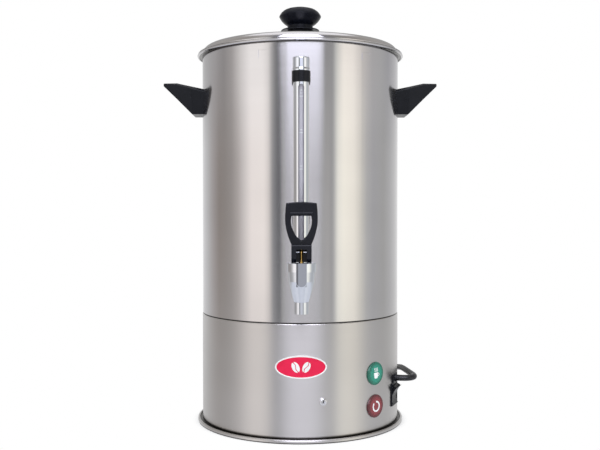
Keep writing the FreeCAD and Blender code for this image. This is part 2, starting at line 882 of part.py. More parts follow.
def print_least_gap(path):
    """The least gap between two turns of the coil, measured on points along its line."""
    step = 4.0
    points = []
    for edge in path.OrderedEdges:
        points += edge.discretize(max(2, int(edge.Length / step) + 1))[:-1]
    clear_of = int(4 * cord_radius * math.pi / step)
    least = min((p - q).Length for i, p in enumerate(points) for q in points[i + clear_of:])
    print(f"coil least gap to itself {least - 2 * cord_radius:.2f} mm")


def cord_exit(beyond=0.0):
    x, y = on_circle(skirt_radius + relief_head + relief_neck + beyond, switch_azimuth)
    return V(x, y, relief_z)


def make_cord():
    spots = coil_points()
    end = spots[0] + V(2 * cord_radius, 0, 0)
    points = [cord_exit(), cord_exit(cord_lead)] + [V(*p) for p in cord_route] + [end]
    path, radii = rounded_path(points)
    print("cord radii", " ".join(f"{r:.0f}" for r in radii), f"length {path.Length:.1f} mm")
    solid = sweep(path, cord_radius, points[0], (points[1] - points[0]).normalize())
    expected = path.Length * math.pi * cord_radius ** 2
    print(f"cord volume is {solid.Volume / expected:.4f} of section times length")
    return solid


def inner_cord_points():
    """The mains cord's route inside the base, from the strain relief to above the terminal block."""
    block_radius = terminal_face() - terminal_depth / 2
    return [
        spot_at(skirt_radius - relief_depth, switch_azimuth, relief_z),
        spot_at(skirt_radius - relief_depth - 24, switch_azimuth, relief_z),
        spot_at(block_radius - 45, switch_azimuth - 30, relief_z + 8),
        spot_at(block_radius - 26, front_screw_azimuth, core_end_z + 26),
        spot_at(block_radius, front_screw_azimuth, core_end_z + 26),
        spot_at(block_radius, front_screw_azimuth, core_end_z),
    ]


def make_inner_cord():
    points = inner_cord_points()
    path = rounded_path(points)[0]
    return sweep(path, cord_radius, points[0], (points[1] - points[0]).normalize())


def wire_leg(spot, way, level):
    """The points of one end of a wire: straight out of its terminal, then to its level."""
    out = spot + way * wire_lead
    if way == DOWN:
        return [spot, V(spot.x, spot.y, level)]
    return [spot, out, V(out.x, out.y, level)]


def element_pin(ring_radius, side):
    azimuth = heater_azimuth + side * (ring_open_angle / 2 + cold_pin_angle)
    low = seam_z - plate_thickness - seat_gap - sheath_radius - terminal_drop
    return spot_at(ring_radius, azimuth, low), DOWN


def control_tab(side_x, side_y):
    low = seam_z - well_depth - control_height - control_tab_drop
    return V(side_x * control_offset, side_y * control_tab_spread, low), DOWN


def switch_tab(row):
    back = skirt_radius - bezel_depth - seat_gap - switch_body_depth - switch_tab_length
    return spot_at(back, switch_azimuth, switch_z + row * switch_tab_pitch), spot_at(-1, switch_azimuth, 0)


def lamp_tab(z, side):
    back = skirt_radius - lamp_stem_length - lamp_body_depth
    return spot_at(back, lamp_azimuth, z, side * 3.5), spot_at(-1, lamp_azimuth, 0)


def terminal_side(column, row):
    """A wire's place on the terminal block's inner face."""
    z = terminal_top_z - terminal_height / 2 + 2.0 * row
    spot = spot_at(terminal_face() - terminal_depth, front_screw_azimuth, z, column * terminal_pitch / 3)
    return spot, spot_at(-1, front_screw_azimuth, 0)


def make_wires():
    """The insulated wires between the terminals, the switch, the controls, the heaters and the lamps."""
    runs = (
        (switch_tab(1), control_tab(-1, -1), 88),
        (control_tab(-1, 1), element_pin(boil_ring_radius, 1), 94),
        (element_pin(boil_ring_radius, -1), terminal_side(-3, 1), 98),
        (switch_tab(0), terminal_side(1, 1), 36),
        (control_tab(1, 1), element_pin(warm_ring_radius, 1), 102),
        (control_tab(1, -1), element_pin(warm_ring_radius, -1), 102),
        (lamp_tab(power_lamp_z, 1), switch_tab(-1), 26),
        (lamp_tab(power_lamp_z, -1), terminal_side(2, -1), 26),
        (lamp_tab(ready_lamp_z, 1), terminal_side(0, 1), 46),
        (lamp_tab(ready_lamp_z, -1), terminal_side(-1, -1), 54),
    )
    wires = []
    for (start, start_way), (end, end_way), level in runs:
        points = wire_leg(start, start_way, level) + wire_leg(end, end_way, level)[::-1]
        path = rounded_path(points)[0]
        wires.append(sweep(path, wire_radius, start, (points[1] - points[0]).normalize()))
    return Part.makeCompound(wires + make_cores())


def make_cores():
    """The cord's three cores, from the end of its sheath into the terminals."""
    cores = []
    for k in (-1, 0, 1):
        radius = terminal_face() - terminal_depth / 2
        start = spot_at(radius, front_screw_azimuth, core_end_z, 2.4 * k)
        end = spot_at(radius, front_screw_azimuth, terminal_top_z - 3 + seat_gap, terminal_pitch * k)
        points = [start, start + DOWN * 3, end - DOWN * 6, end]
        path = rounded_path(points)[0] if k else Part.Wire([Part.LineSegment(start, end).toShape()])
        cores.append(sweep(path, wire_radius, start, DOWN))
    return cores


def make_plug():
    start = coil_end()
    x, y, z = start
    sleeve = Part.makeCone(cord_radius + 0.8, plug_half_height - 3, plug_sleeve_length, start, V(1, 0, 0))
    body_x = x + plug_sleeve_length
    body = block(body_x, body_x + plug_body_length, y - plug_half_width, y + plug_half_width,
                 z - plug_half_height, z + plug_half_height)
    body = body.makeFillet(3.0, [e for e in body.Edges if abs(e.tangentAt(e.FirstParameter).x) > 0.9])
    body = joined([body, sleeve])
    face_x = body_x + plug_body_length
    blades = [block(face_x - 4, face_x + blade_length, y + side * blade_spacing - blade_thickness / 2,
                    y + side * blade_spacing + blade_thickness / 2, z, z + blade_width) for side in (-1, 1)]
    earth_z = z + blade_width / 2 - earth_pin_offset + 2.0
    earth = Part.makeCylinder(earth_pin_radius, blade_length + 7, V(face_x - 4, y, earth_z), V(1, 0, 0))
    pins = blades + [earth]
    for pin in pins:
        body = body.cut(pin)
    return body, Part.makeCompound(pins)


# Side handles


def handle_section(distance, top_drop, top_half, bevel, bottom_drop, bottom_half):
    x = tank_radius + distance
    top_z, bottom_z = rim_z - top_drop, rim_z - bottom_drop
    half = [(top_half - bevel, top_z), (top_half, top_z - 0.9 * bevel), (bottom_half, bottom_z)]
    corners = [V(x, y, z) for y, z in half] + [V(x, -y, z) for y, z in reversed(half)]
    return Part.makePolygon(corners + corners[:1])


def make_handle(side):
    parts = []
    for first, last in zip(handle_sections, handle_sections[1:]):
        parts.append(Part.makeLoft([handle_section(*first), handle_section(*last)], True, True))
    wedge = joined(parts)
    sharp = [e for e in wedge.Edges if e.BoundBox.XMax > tank_radius]
    wedge = wedge.makeFillet(handle_round, sharp)
    first, last = handle_sections[0], handle_sections[-1]
    slope = (first[1] - last[1]) / (last[0] - first[0])
    margin = handle_dish_margin
    near, far = margin, last[0] - margin
    dish_corners = [(near, first[2] - margin), (far, last[2] - margin), (far, -last[2] + margin),
                    (near, -first[2] + margin)]
    floor_z = rim_z - first[1] - handle_dish_depth
    floor = [V(tank_radius + distance, y, floor_z + (distance - first[0]) * slope)
             for distance, y in dish_corners]
    dish = Part.Face(Part.makePolygon(floor + floor[:1])).extrude(V(0, 0, handle_dish_depth + 5))
    upright = [e for e in dish.Edges if abs(e.tangentAt(e.FirstParameter).z) > 0.9]
    dish = dish.makeFillet(handle_dish_corner, upright)
    wedge = wedge.cut(dish)
    wedge = wedge.cut(post(tank_radius + skin_gap, rim_z - first[4] - 10, rim_z - last[1] + 10))
    for across in (-handle_screw_spread, handle_screw_spread):
        start = V(tank_radius - 20, across, handle_screw_z)
        bore = Part.makeCylinder(handle_screw_radius + thread_gap, handle_screw_bite + 21, start, V(1, 0, 0))
        wedge = wedge.cut(bore)
    return turn(wedge, 0 if side > 0 else 180)


def inside_screw(z, across=0.0):
    """A screw driven outwards from inside the tank at the tap's side."""
    seat = math.sqrt(inner_radius ** 2 - (abs(across) + small_head_radius) ** 2) - 0.1
    screw = make_screw(small_head_radius, small_head_height, handle_screw_radius,
                       tank_radius - seat + handle_screw_bite)
    screw.rotate(V(0, 0, 0), V(1, 0, 0), -90)
    screw.translate(V(across, -seat, z))
    return screw


def make_handle_screws():
    screws = []
    for side in (90, -90):
        for across in (-handle_screw_spread, handle_screw_spread):
            screws.append(turn(inside_screw(handle_screw_z, across), side))
    return Part.makeCompound(screws)


# Tap


def tap_post(radius, z0, z1):
    return post(radius, z0, z1, 0, tap_y)


def key_slot():
    """The flat-bottomed keyway down the front of the bonnet and the body."""
    face_y = tap_y - key_face
    front_y = tap_y - bonnet_radius - 5
    round_z = key_bottom_z + key_half_width
    slot = block(-key_half_width, key_half_width, front_y, face_y, round_z, bonnet_top + 5)
    end = Part.makeCylinder(key_half_width, face_y - front_y, V(0, front_y, round_z), V(0, 1, 0))
    return slot.fuse(end)


def make_tap_body():
    nozzle_top = nozzle_tip_z + 12.9
    shoulder, neck = (bonnet_radius - 2.2, shank_z + 2.0), (nozzle_radius + 0.5, nozzle_top + 0.5)
    outer = lathe([
        (0, nozzle_tip_z), (nozzle_radius, nozzle_tip_z), (nozzle_radius, nozzle_top), neck,
        [bulged(neck, shoulder, tap_body_bulge)], shoulder, (bonnet_radius - 1.6, tap_body_top),
        (0, tap_body_top),
    ], 360, 0, tap_y)
    shank = spoke(shank_radius, tank_radius - shank_inside, -tap_y, shank_z)
    flange_face = tank_radius + gasket_thickness
    flange = spoke(shank_flange_radius, flange_face, flange_face + shank_flange_thickness, shank_z)
    boss = post(boss_radius, shank_z, boss_top_z, 0, gauge_y)
    body = joined([outer, shank, flange, boss])
    body = body.cut(tap_post(nozzle_bore, nozzle_tip_z - 1, tap_seat_z + 1))
    body = body.cut(tap_post(chamber_radius, tap_seat_z, tap_body_top + 1))
    body = body.cut(spoke(shank_bore, tank_radius - shank_inside - 1, -tap_y - 1, shank_z))
    body = body.cut(post(glass_radius + slip_gap, glass_bottom_z - seal_height, boss_top_z + 1, 0, gauge_y))
    body = body.cut(post(glass_bore, shank_z, boss_top_z, 0, gauge_y))
    return body.cut(key_slot())


def make_bonnet():
    collar = lathe([
        (0, tap_body_top), (bonnet_radius, tap_body_top), (bonnet_radius, bonnet_top - 0.5),
        (bonnet_radius - 0.5, bonnet_top), (0, bonnet_top),
    ], 360, 0, tap_y)
    bonnet = joined([collar, tap_post(chamber_radius - thread_gap, bonnet_spigot_z, tap_body_top)])
    bonnet = bonnet.cut(tap_post(spring_pocket_radius, bonnet_spigot_z - 1, spring_pocket_top))
    bonnet = bonnet.cut(tap_post(stem_radius + thread_gap, spring_pocket_top - 1, bonnet_top + 1))
    return bonnet.cut(key_slot())


def stem_disc_z():
    return tap_seat_z + seat_gap + washer_thickness


def make_stem():
    low = stem_disc_z()
    stem = joined([
        tap_post(stem_radius, low, pin_z + pin_radius + stem_eye_wall),
        tap_post(stem_disc_radius, low, low + stem_disc_thickness),
        tap_post(stem_tip_radius, low - washer_thickness, low),
        Part.makeSphere(pin_radius + stem_eye_wall, V(0, tap_y, pin_z)),
    ])
    hole = Part.makeCylinder(pin_radius + thread_gap, 40, V(-20, tap_y, pin_z), V(1, 0, 0))
    return stem.cut(hole)


def make_seat_washer():
    low = tap_seat_z + seat_gap
    return tube(washer_radius, stem_tip_radius + thread_gap, low, low + washer_thickness, 0, tap_y)


def make_valve_spring():
    """A coil spring made of half turns, from the stem's disc up to the end of the bonnet's pocket."""
    low = stem_disc_z() + stem_disc_thickness + spring_wire / 2 + seat_gap
    high = spring_pocket_top - spring_wire / 2 - seat_gap
    rise = (high - low) / (2 * spring_turns)
    slope = rise / (math.pi * spring_radius)
    edges = []
    for k in range(2 * spring_turns):
        side = 1 if k % 2 == 0 else -1
        start = V(side * spring_radius, tap_y, low + k * rise)
        end = V(-side * spring_radius, tap_y, low + (k + 1) * rise)
        edges += biarc(start, V(0, side, slope).normalize(), end, V(0, -side, slope).normalize())
    return sweep(Part.Wire(edges), spring_wire / 2, V(spring_radius, tap_y, low), V(0, 1, slope))


def make_pin():
    half = grip_half_waist - 0.6
    return Part.makeCylinder(pin_radius, 2 * half, V(-half, tap_y, pin_z), V(1, 0, 0))


def heel_points(count=6):
    """The cam under the tap handle: its support distance grows steadily as the handle tips forward."""
    height = pin_height - heel_gap
    points = []
    for k in range(2 * count + 1):
        angle = math.pi / 2 * k / (2 * count)
        reach = height + cam_rise * angle
        y = -reach * math.sin(angle) - cam_rise * math.cos(angle)
        z = -reach * math.cos(angle) + cam_rise * math.sin(angle)
        points.append(V(0, tap_y + y, pin_z + z))
    return points


def make_tap_handle():
    cam = heel_points()
    back = tap_y + grip_thickness
    low = pin_z - pin_height + heel_gap
    front = cam[-1].y
    edges = [Part.Arc(cam[k], cam[k + 1], cam[k + 2]).toShape() for k in range(0, len(cam) - 1, 2)]
    shoulder = V(0, front, grip_waist_z)
    rest = [cam[-1], shoulder, V(0, back, grip_waist_z), V(0, back, low), cam[0]]
    edges += edges_through(rest, closed=False)
    block_half = grip_half_waist
    base = Part.Face(Part.Wire(edges)).extrude(V(2 * block_half, 0, 0))
    base.translate(V(-block_half, 0, 0))
    in_front = [e for e in base.Edges if e.BoundBox.YMax < front + 0.01]
    over = [e for e in in_front if e.BoundBox.ZMin > grip_waist_z - 0.01]
    base = base.makeFillet(grip_shoulder_round, over)
    middle_y = (front + back) / 2
    loop_front = middle_y - grip_thickness / 2 - 1
    loop = plate_in_front(grip_outline(), loop_front, loop_front + grip_thickness)
    loop = loop.cut(plate_in_front(grip_hole_outline(), loop_front - 1, loop_front + grip_thickness + 1))
    in_front = [e for e in loop.Edges if e.BoundBox.YMax < loop_front + 0.01]
    loop = loop.makeFillet(grip_round, [e for e in in_front if e.BoundBox.ZMin > grip_waist_z - 1])
    bar = Part.makeCylinder(bar_radius, 2 * bar_half_width, V(-bar_half_width, loop_front, bar_z), V(1, 0, 0))
    handle = joined([base, loop, bar])
    window = block(-window_half_width, window_half_width, front - 5, tap_y + window_depth, low - 5,
                   pin_z + window_top_above_pin)
    handle = handle.cut(window)
    pin_hole = Part.makeCylinder(pin_radius + thread_gap, 60, V(-30, tap_y, pin_z), V(1, 0, 0))
    return handle.cut(pin_hole)


def both_sides(right):
    """An outline from its right half, which runs from the bottom to the top."""
    left = [[(-p[0][0], p[0][1])] if isinstance(p, list) else (-p[0], p[1]) for p in reversed(right)]
    return right + left


def grip_outline():
    foot = (grip_half_waist, grip_waist_z)
    side = (grip_half_widest, grip_widest_z - 4)
    corner = (grip_half_top, grip_top_z - grip_crown)
    right = [(grip_half_waist, grip_waist_z - 4), foot, [bulged(foot, side, grip_side_bulge)], side,
             [(grip_half_widest + 0.1, grip_widest_z)], corner]
    left = both_sides(right)[len(right):]
    return right + [[(0, grip_top_z)]] + left


def grip_hole_outline():
    bottom = (0, hole_bottom_z)
    waist = (hole_half_waist, hole_waist_z)
    right = [[bulged(bottom, waist, hole_end_bulge)], waist, [(hole_half_width, hole_widest_z)],
             (hole_half_top, hole_top_z)]
    return [bottom] + both_sides(right)


def make_shank_nut():
    face = inner_radius - gasket_thickness - 0.9
    nut = to_front(hexagon(shank_nut_flats, 0, shank_nut_height), face - shank_nut_height, shank_z)
    return nut.cut(spoke(shank_radius + thread_gap, face - shank_nut_height - 5, face + 5, shank_z))


def make_gaskets():
    inner_face = inner_radius - gasket_thickness - 0.9
    outer_face = tank_radius + gasket_thickness
    hole = spoke(shank_radius + thread_gap, inner_face - 5, outer_face + 5, shank_z)
    low, high = shank_z - 2 * shank_flange_radius, shank_z + 2 * shank_flange_radius
    outer = spoke(shank_flange_radius, tank_radius - 3, outer_face, shank_z).cut(hole)
    outer = outer.cut(post(tank_radius + skin_gap, low, high))
    inner = spoke(shank_flange_radius, inner_face, tank_radius + 3, shank_z).cut(hole)
    inner = inner.common(post(inner_radius - skin_gap, low, high))
    return outer, inner


# Sight gauge


def make_gauge_glass():
    return tube(glass_radius, glass_bore, glass_bottom_z, glass_top_z, 0, gauge_y)


def make_gauge_nut():
    """The gland nut that squeezes the lower seal round the glass."""
    nut = post(gauge_nut_radius, boss_top_z, gauge_nut_top, 0, gauge_y)
    nut = nut.cut(post(glass_radius + slip_gap, boss_top_z - 1, gauge_nut_top + 1, 0, gauge_y))
    return nut


def make_gauge_seals():
    outer, inner = glass_radius + slip_gap - thread_gap, glass_bore + 0.2
    low = tube(outer, inner, glass_bottom_z - seal_height, glass_bottom_z, 0, gauge_y)
    high = tube(outer, inner, glass_top_z, glass_top_z + seal_height, 0, gauge_y)
    return Part.makeCompound([low, high])


def make_gauge_guard():
    guard = tube(guard_radius, guard_radius - sheet, gauge_nut_top, clip_bottom_z, 0, gauge_y)
    front = gauge_y - guard_radius - 1
    slot = block(-guard_slot_half, guard_slot_half, front, gauge_y - 3, guard_slot_bottom,
                 guard_slot_top - guard_slot_half)
    round_end = V(0, front, guard_slot_top - guard_slot_half)
    top = Part.makeCylinder(guard_slot_half, gauge_y - 3 - front, round_end, V(0, 1, 0))
    return guard.cut(slot.fuse(top))


def make_gauge_clip():
    clip = post(clip_half_width, clip_bottom_z, clip_top_z, 0, gauge_y)
    arm = block(-clip_half_width, clip_half_width, gauge_y, -tank_radius + 2, clip_bottom_z, clip_top_z)
    clip = joined([clip, arm])
    clip = clip.cut(post(tank_radius + skin_gap, clip_bottom_z - 5, clip_top_z + 5))
    clip = clip.cut(post(glass_radius + slip_gap, clip_bottom_z - 5, clip_top_z + 5, 0, gauge_y))
    screw_z = (clip_bottom_z + clip_top_z) / 2
    bore_end = tank_radius + clip_screw_bite + 1
    return clip.cut(spoke(handle_screw_radius + thread_gap, tank_radius - 10, bore_end, screw_z))


def make_gauge_cap():
    slant = math.sqrt(0.5)
    edge = 1.8
    cap = lathe([
        (0, clip_top_z), (cap_lip_radius, clip_top_z), (cap_lip_radius, clip_top_z + 1.6),
        (cap_radius, cap_lip_top), (cap_radius, cap_top_z - edge),
        [(cap_radius - edge * (1 - slant), cap_top_z - edge * (1 - slant))],
        (cap_radius - edge, cap_top_z), (0, cap_top_z),
    ], 360, 0, gauge_y)
    return cap.cut(post(glass_radius + slip_gap, clip_top_z - 1, glass_top_z + seal_height, 0, gauge_y))


def make_clip_screw():
    seat = math.sqrt(inner_radius ** 2 - small_head_radius ** 2) - 0.1
    screw = make_screw(small_head_radius, small_head_height, handle_screw_radius,
                       tank_radius - seat + clip_screw_bite)
    screw.rotate(V(0, 0, 0), V(1, 0, 0), -90)
    screw.translate(V(0, -seat, (clip_bottom_z + clip_top_z) / 2))
    return screw


# Lid


def make_lid():
    under = rim_z + rim_bead_radius + seat_gap / 2
    top = under + sheet
    wall = lid_wall_radius
    shoulder = lid_shoulder_radius
    mid = (lid_top_flat + shoulder) / 2
    mid_z = (lid_top_z + lid_shoulder_z) / 2 + lid_crown
    shell = lathe([
        (lid_rim_radius, under), (lid_rim_radius, top), (wall + 0.6, top), (wall, top + 0.6),
        [(wall - 2.0, lid_shoulder_z - 2.6)], (shoulder, lid_shoulder_z),
        [(mid, mid_z)], (lid_top_flat, lid_top_z), (0, lid_top_z),
        (0, lid_top_z - sheet), (lid_top_flat, lid_top_z - sheet),
        [(mid, mid_z - sheet)], (shoulder - 0.3, lid_shoulder_z - sheet),
        [(wall - 2.0 - sheet, lid_shoulder_z - 3.0)], (wall - sheet, top + 0.6), (wall - sheet, top),
        (lid_skirt_radius - sheet, top), (lid_skirt_radius - sheet, lid_skirt_bottom),
        (lid_skirt_radius, lid_skirt_bottom), (lid_skirt_radius, under),
    ])
    lugs = []
    for start in rib_starts:
        high = rib_z - rib_height / 2 - 0.4
        lugs.append(band(lid_skirt_radius - sheet / 2, inner_radius - slip_gap, high - lug_height, high,
                         start + lug_angle_from_rib, lug_span))
    lid = joined([shell] + lugs)
    return lid.cut(post(knob_screw_radius + slip_gap, lid_top_z - 5, lid_top_z + 5))


def make_knob():
    bore_radius = knob_screw_radius + thread_gap
    bore_top = knob_screw_top + 1
    crown = (knob_crown_reach ** 2 + knob_crown_drop ** 2) / (2 * knob_crown_drop)
    half_angle = math.asin(knob_crown_reach / crown) / 2
    crown_middle = (crown * math.sin(half_angle), knob_top_z - crown * (1 - math.cos(half_angle)))
    low, wide = (knob_neck_radius + knob_flare, knob_neck_z), (knob_radius, knob_wide_z)
    high = (knob_crown_reach, knob_top_z - knob_crown_drop)
    return lathe([
        (bore_radius, knob_foot_z), (knob_neck_radius, knob_foot_z), (knob_neck_radius, knob_neck_z - 1), low,
        [bulged(low, wide, knob_lower_bulge)], wide, [bulged(wide, high, knob_upper_bulge)], high,
        [crown_middle], (0, knob_top_z), (0, bore_top), (bore_radius, bore_top),
    ])


def make_knob_collar():
    top = knob_foot_z
    return lathe([
        (knob_screw_radius + slip_gap, lid_top_z), (knob_neck_radius, lid_top_z),
        (knob_neck_radius, top - collar_edge),
        (collar_radius, top - collar_edge), (collar_radius, top - 0.6), (collar_radius - 0.6, top),
        (knob_screw_radius + slip_gap, top),
    ])


def make_knob_washer():
    top = lid_top_z - sheet
    return tube(8.0, knob_screw_radius + thread_gap, top - 1.0, top)


def make_knob_screw():
    seat = lid_top_z - sheet - 1.0
    screw = make_screw(5.0, 3.0, knob_screw_radius, knob_screw_top - seat)
    screw.rotate(V(0, 0, 0), V(1, 0, 0), 180)
    screw.translate(V(0, 0, seat))
    return screw


# Percolator


def make_pump_tube():
    pump = tube(tube_radius, tube_bore, tube_foot_z, tube_top_z)
    seat = tube(basket_seat_radius, tube_radius - 0.3, basket_seat_z, basket_seat_z + basket_seat_height)
    low_lip = tube(tube_bore + 0.2, tube_bore - valve_lip, tube_foot_z, tube_foot_z + 1)
    stop_z = tube_foot_z + 1 + valve_disc_thickness + valve_travel + 0.6
    high_lip = tube(tube_bore + 0.2, tube_bore - valve_lip, stop_z, stop_z + 1)
    return joined([pump, seat, low_lip, high_lip])


def make_pump_bell():
    sleeve = tube_radius + thread_gap
    thin = 0.4
    return lathe([
        (bell_radius, bell_lip_z), (bell_radius, bell_lip_z + bell_edge),
        (sleeve + sheet, tube_foot_z + bell_neck), (sleeve + sheet, bell_sleeve_top),
        (sleeve, bell_sleeve_top),
        (sleeve, tube_foot_z + bell_neck - thin), (bell_radius - sheet, bell_lip_z + bell_edge - thin),
        (bell_radius - sheet, bell_lip_z),
    ])


def make_valve_disc():
    low = tube_foot_z + 1 + 0.1
    return post(valve_disc_radius, low, low + valve_disc_thickness)


def make_basket():
    low = basket_seat_z + basket_seat_height
    top = low + basket_height
    sleeve, sleeve_top = tube_radius + slip_gap, top - basket_sleeve_drop
    flange = basket_radius + basket_flange
    basket = lathe([
        (sleeve, low), (basket_radius, low), (basket_radius, top - sheet), (flange, top - sheet),
        (flange, top), (basket_radius - sheet, top), (basket_radius - sheet, low + sheet),
        (sleeve + sheet, low + sheet), (sleeve + sheet, sleeve_top), (sleeve, sleeve_top),
    ])
    return basket.cut(hole_rings(hole_radius, low - 1, low + 2, basket_rings))


def make_spreader():
    rest = basket_seat_z + basket_seat_height + basket_height
    sleeve = tube_radius + slip_gap
    rim = basket_radius + basket_flange - 0.4
    dome, foot = spreader_dome_radius, spreader_dome_radius + 4
    spreader = lathe([
        (sleeve, rest + spreader_rise), (dome, rest + spreader_rise), (foot, rest), (rim, rest),
        (rim, rest + spreader_edge), (rim - sheet, rest + spreader_edge), (rim - sheet, rest + sheet),
        (foot + 0.4, rest + sheet), (dome + 0.4, rest + spreader_rise + sheet),
        (sleeve, rest + spreader_rise + sheet),
    ])
    return spreader.cut(hole_rings(hole_radius, rest - 1, rest + 2, spreader_rings))


def build():
    keep("tank_shell", make_tank())
    keep("base_skirt", make_skirt())
    keep("bottom_cover", make_bottom_cover())
    keep("tie_studs", make_studs())
    keep("cover_nuts", make_cover_nuts())
    keep("badge_plate", make_badge())
    keep("heater_plate", make_heater_plate())
    keep("boil_element", make_element(boil_ring_radius))
    keep("warm_element", make_element(warm_ring_radius))
    boil, warm = make_controls()
    keep("boil_thermostat", boil)
    keep("warm_thermostat", warm)
    keep("thermostat_bracket", make_control_bracket())
    carrier, terminals = make_terminal_block()
    keep("terminal_bracket", carrier)
    keep("terminal_block", terminals)
    keep("front_screw", make_front_screw())
    for name, z in (("ready", ready_lamp_z), ("power", power_lamp_z)):
        lens, housing = make_lamp(z)
        keep(name + "_lamp_lens", lens)
        keep(name + "_lamp_body", housing)
    keep("switch_bezel", make_bezel())
    keep("switch_rocker", make_rocker())
    keep("switch_body", make_switch_body())
    keep("strain_relief", make_relief())
    keep("power_cord", make_cord())
    keep("cord_coil", make_coil())
    keep("inner_cord", make_inner_cord())
    keep("hookup_wires", make_wires())
    plug, pins = make_plug()
    keep("plug", plug)
    keep("plug_pins", pins)
    keep("left_handle", make_handle(-1))
    keep("right_handle", make_handle(1))
    keep("handle_screws", make_handle_screws())
    keep("tap_body", make_tap_body())
    keep("tap_bonnet", make_bonnet())
    keep("valve_stem", make_stem())
    keep("seat_washer", make_seat_washer())
    keep("valve_spring", make_valve_spring())
    keep("tap_pin", make_pin())
    keep("tap_handle", make_tap_handle())
    keep("shank_nut", make_shank_nut())
    outer, inner = make_gaskets()
    keep("outer_gasket", outer)
    keep("inner_gasket", inner)
    keep("gauge_glass", make_gauge_glass())
    keep("gauge_nut", make_gauge_nut())
    keep("gauge_seals", make_gauge_seals())
    keep("gauge_guard", make_gauge_guard())
    keep("gauge_clip", make_gauge_clip())
    keep("gauge_cap", make_gauge_cap())
    keep("gauge_clip_screw", make_clip_screw())
    keep("lid_shell", make_lid())
    keep("lid_knob", make_knob())
    keep("knob_collar", make_knob_collar())
    keep("knob_washer", make_knob_washer())
    keep("knob_screw", make_knob_screw())
    keep("pump_tube", make_pump_tube())
    keep("pump_bell", make_pump_bell())
    keep("pump_valve_disc", make_valve_disc())
    keep("coffee_basket", make_basket())
    keep("basket_cover", make_spreader())


build()
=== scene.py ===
"""Looks of the coffee urn: camera, cord, materials, trim and studio light.

Metres and degrees. The origin is the centre of the foot ring, X points right, Y away from the
camera and Z up. An azimuth is counted from the tap, at -Y, towards +X.
"""
import json
import math

import bmesh
import bpy
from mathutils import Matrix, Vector


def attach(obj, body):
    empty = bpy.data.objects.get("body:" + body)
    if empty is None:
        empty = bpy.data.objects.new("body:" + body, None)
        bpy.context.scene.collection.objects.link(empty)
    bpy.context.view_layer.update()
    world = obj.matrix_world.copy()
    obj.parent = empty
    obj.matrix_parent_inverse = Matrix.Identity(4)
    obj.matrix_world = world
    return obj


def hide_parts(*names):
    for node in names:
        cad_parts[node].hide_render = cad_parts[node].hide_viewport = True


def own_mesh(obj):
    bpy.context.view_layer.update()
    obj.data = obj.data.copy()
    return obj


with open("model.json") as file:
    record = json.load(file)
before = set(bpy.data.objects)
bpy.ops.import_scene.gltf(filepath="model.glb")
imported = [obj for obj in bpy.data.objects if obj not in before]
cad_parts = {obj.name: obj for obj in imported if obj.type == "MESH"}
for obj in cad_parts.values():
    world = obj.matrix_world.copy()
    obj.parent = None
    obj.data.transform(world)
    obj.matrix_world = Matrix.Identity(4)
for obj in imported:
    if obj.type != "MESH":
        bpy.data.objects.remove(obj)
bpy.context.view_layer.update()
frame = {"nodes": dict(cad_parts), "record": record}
scene = bpy.context.scene

# Camera, fitted to the outline of the object
frame_width = 600
focal_pixels = 848.44
shift_pixels = (-0.15, 0.8)
sensor_width = 36.0
camera_reach = 1.098
camera_height = 0.27237
camera_azimuth = -0.45
camera_dip = 1.27

# Mains cord: the same route and coil as its solids have
cord_diameter = 0.0075
cord_exit = (0.120107, -0.047069, 0.0601)
cord_route = (
    (0.131280, -0.051448, 0.0601),
    (0.1445, -0.041, 0.0599),
    (0.141, -0.016, 0.0599),
    (0.1375, 0.006, 0.060),
    (0.1348, 0.027, 0.0595),
    (0.129, 0.052, 0.055),
    (0.114, 0.076, 0.044),
    (0.096, 0.098, 0.029),
    (0.077, 0.121, 0.015),
    (0.056, 0.142, 0.006),
    (0.031, 0.150, 0.0038),
)
coil_floor_z = 0.0038
coil_start_y = 0.150
coil_width = 0.096
coil_pitch = 0.0081
coil_layer = 0.0081
coil_half_turns = 5
coil_corners = 6
coil_tail = 0.026

# Places on the solids that carry trim or marks
badge_face = 0.12645
badge_z = 0.088
badge_half = (0.030, 0.0132)
lamp_face = 0.1273
lamp_azimuth = 45.1
ready_lamp_z = 0.0734
power_lamp_z = 0.0344
screw_x = 0.0258
screw_z = 0.0475
gauge_y = -0.140
glass_radius = 0.0050

# Trim
print_sink = 0.0003
rim_overhang = 0.0003
rim_profile = (  # inwards from the rim's edge, and over the badge's face
    (0.0, -0.0008),
    (0.0, 0.0003),
    (0.0004, 0.0006),
    (0.0013, 0.0006),
    (0.0017, 0.0002),
    (0.0017, -0.0008),
)
rim_steps = 96
bean_x = 0.0062
bean_tilt = 28
bean_half = (0.0042, 0.0066)
bean_height = 0.00025
crease_half_length = 0.0058
crease_swing = 0.0009
crease_half_gap = 0.00045
lamp_mark_height = 0.00015
cup_outline = (
    (-0.0042, 0.0012),
    (0.0036, 0.0012),
    (0.0030, -0.0038),
    (0.0022, -0.0052),
    (0.0010, -0.0056),
    (-0.0016, -0.0056),
    (-0.0028, -0.0052),
    (-0.0036, -0.0038),
)
cup_handle_centre = (0.0034, -0.0014)
cup_handle_radius = 0.0018
cup_handle_width = 0.0007
steam_x = (-0.0026, -0.0003, 0.0020)
steam_foot_z = 0.0024
steam_length = 0.0045
steam_swing = 0.00045
steam_width = 0.0009
power_ring_centre = (0.0, -0.0002)
power_ring_radius = 0.0056
power_ring_width = 0.0019
tick_groups = 4
tick_top_z = 0.3965
tick_group_pitch = 0.0408
tick_pitch = 0.0034
tick_half_lengths = (0.0023, 0.0014, 0.0014)
tick_width = 0.0009
tick_height = 0.00006

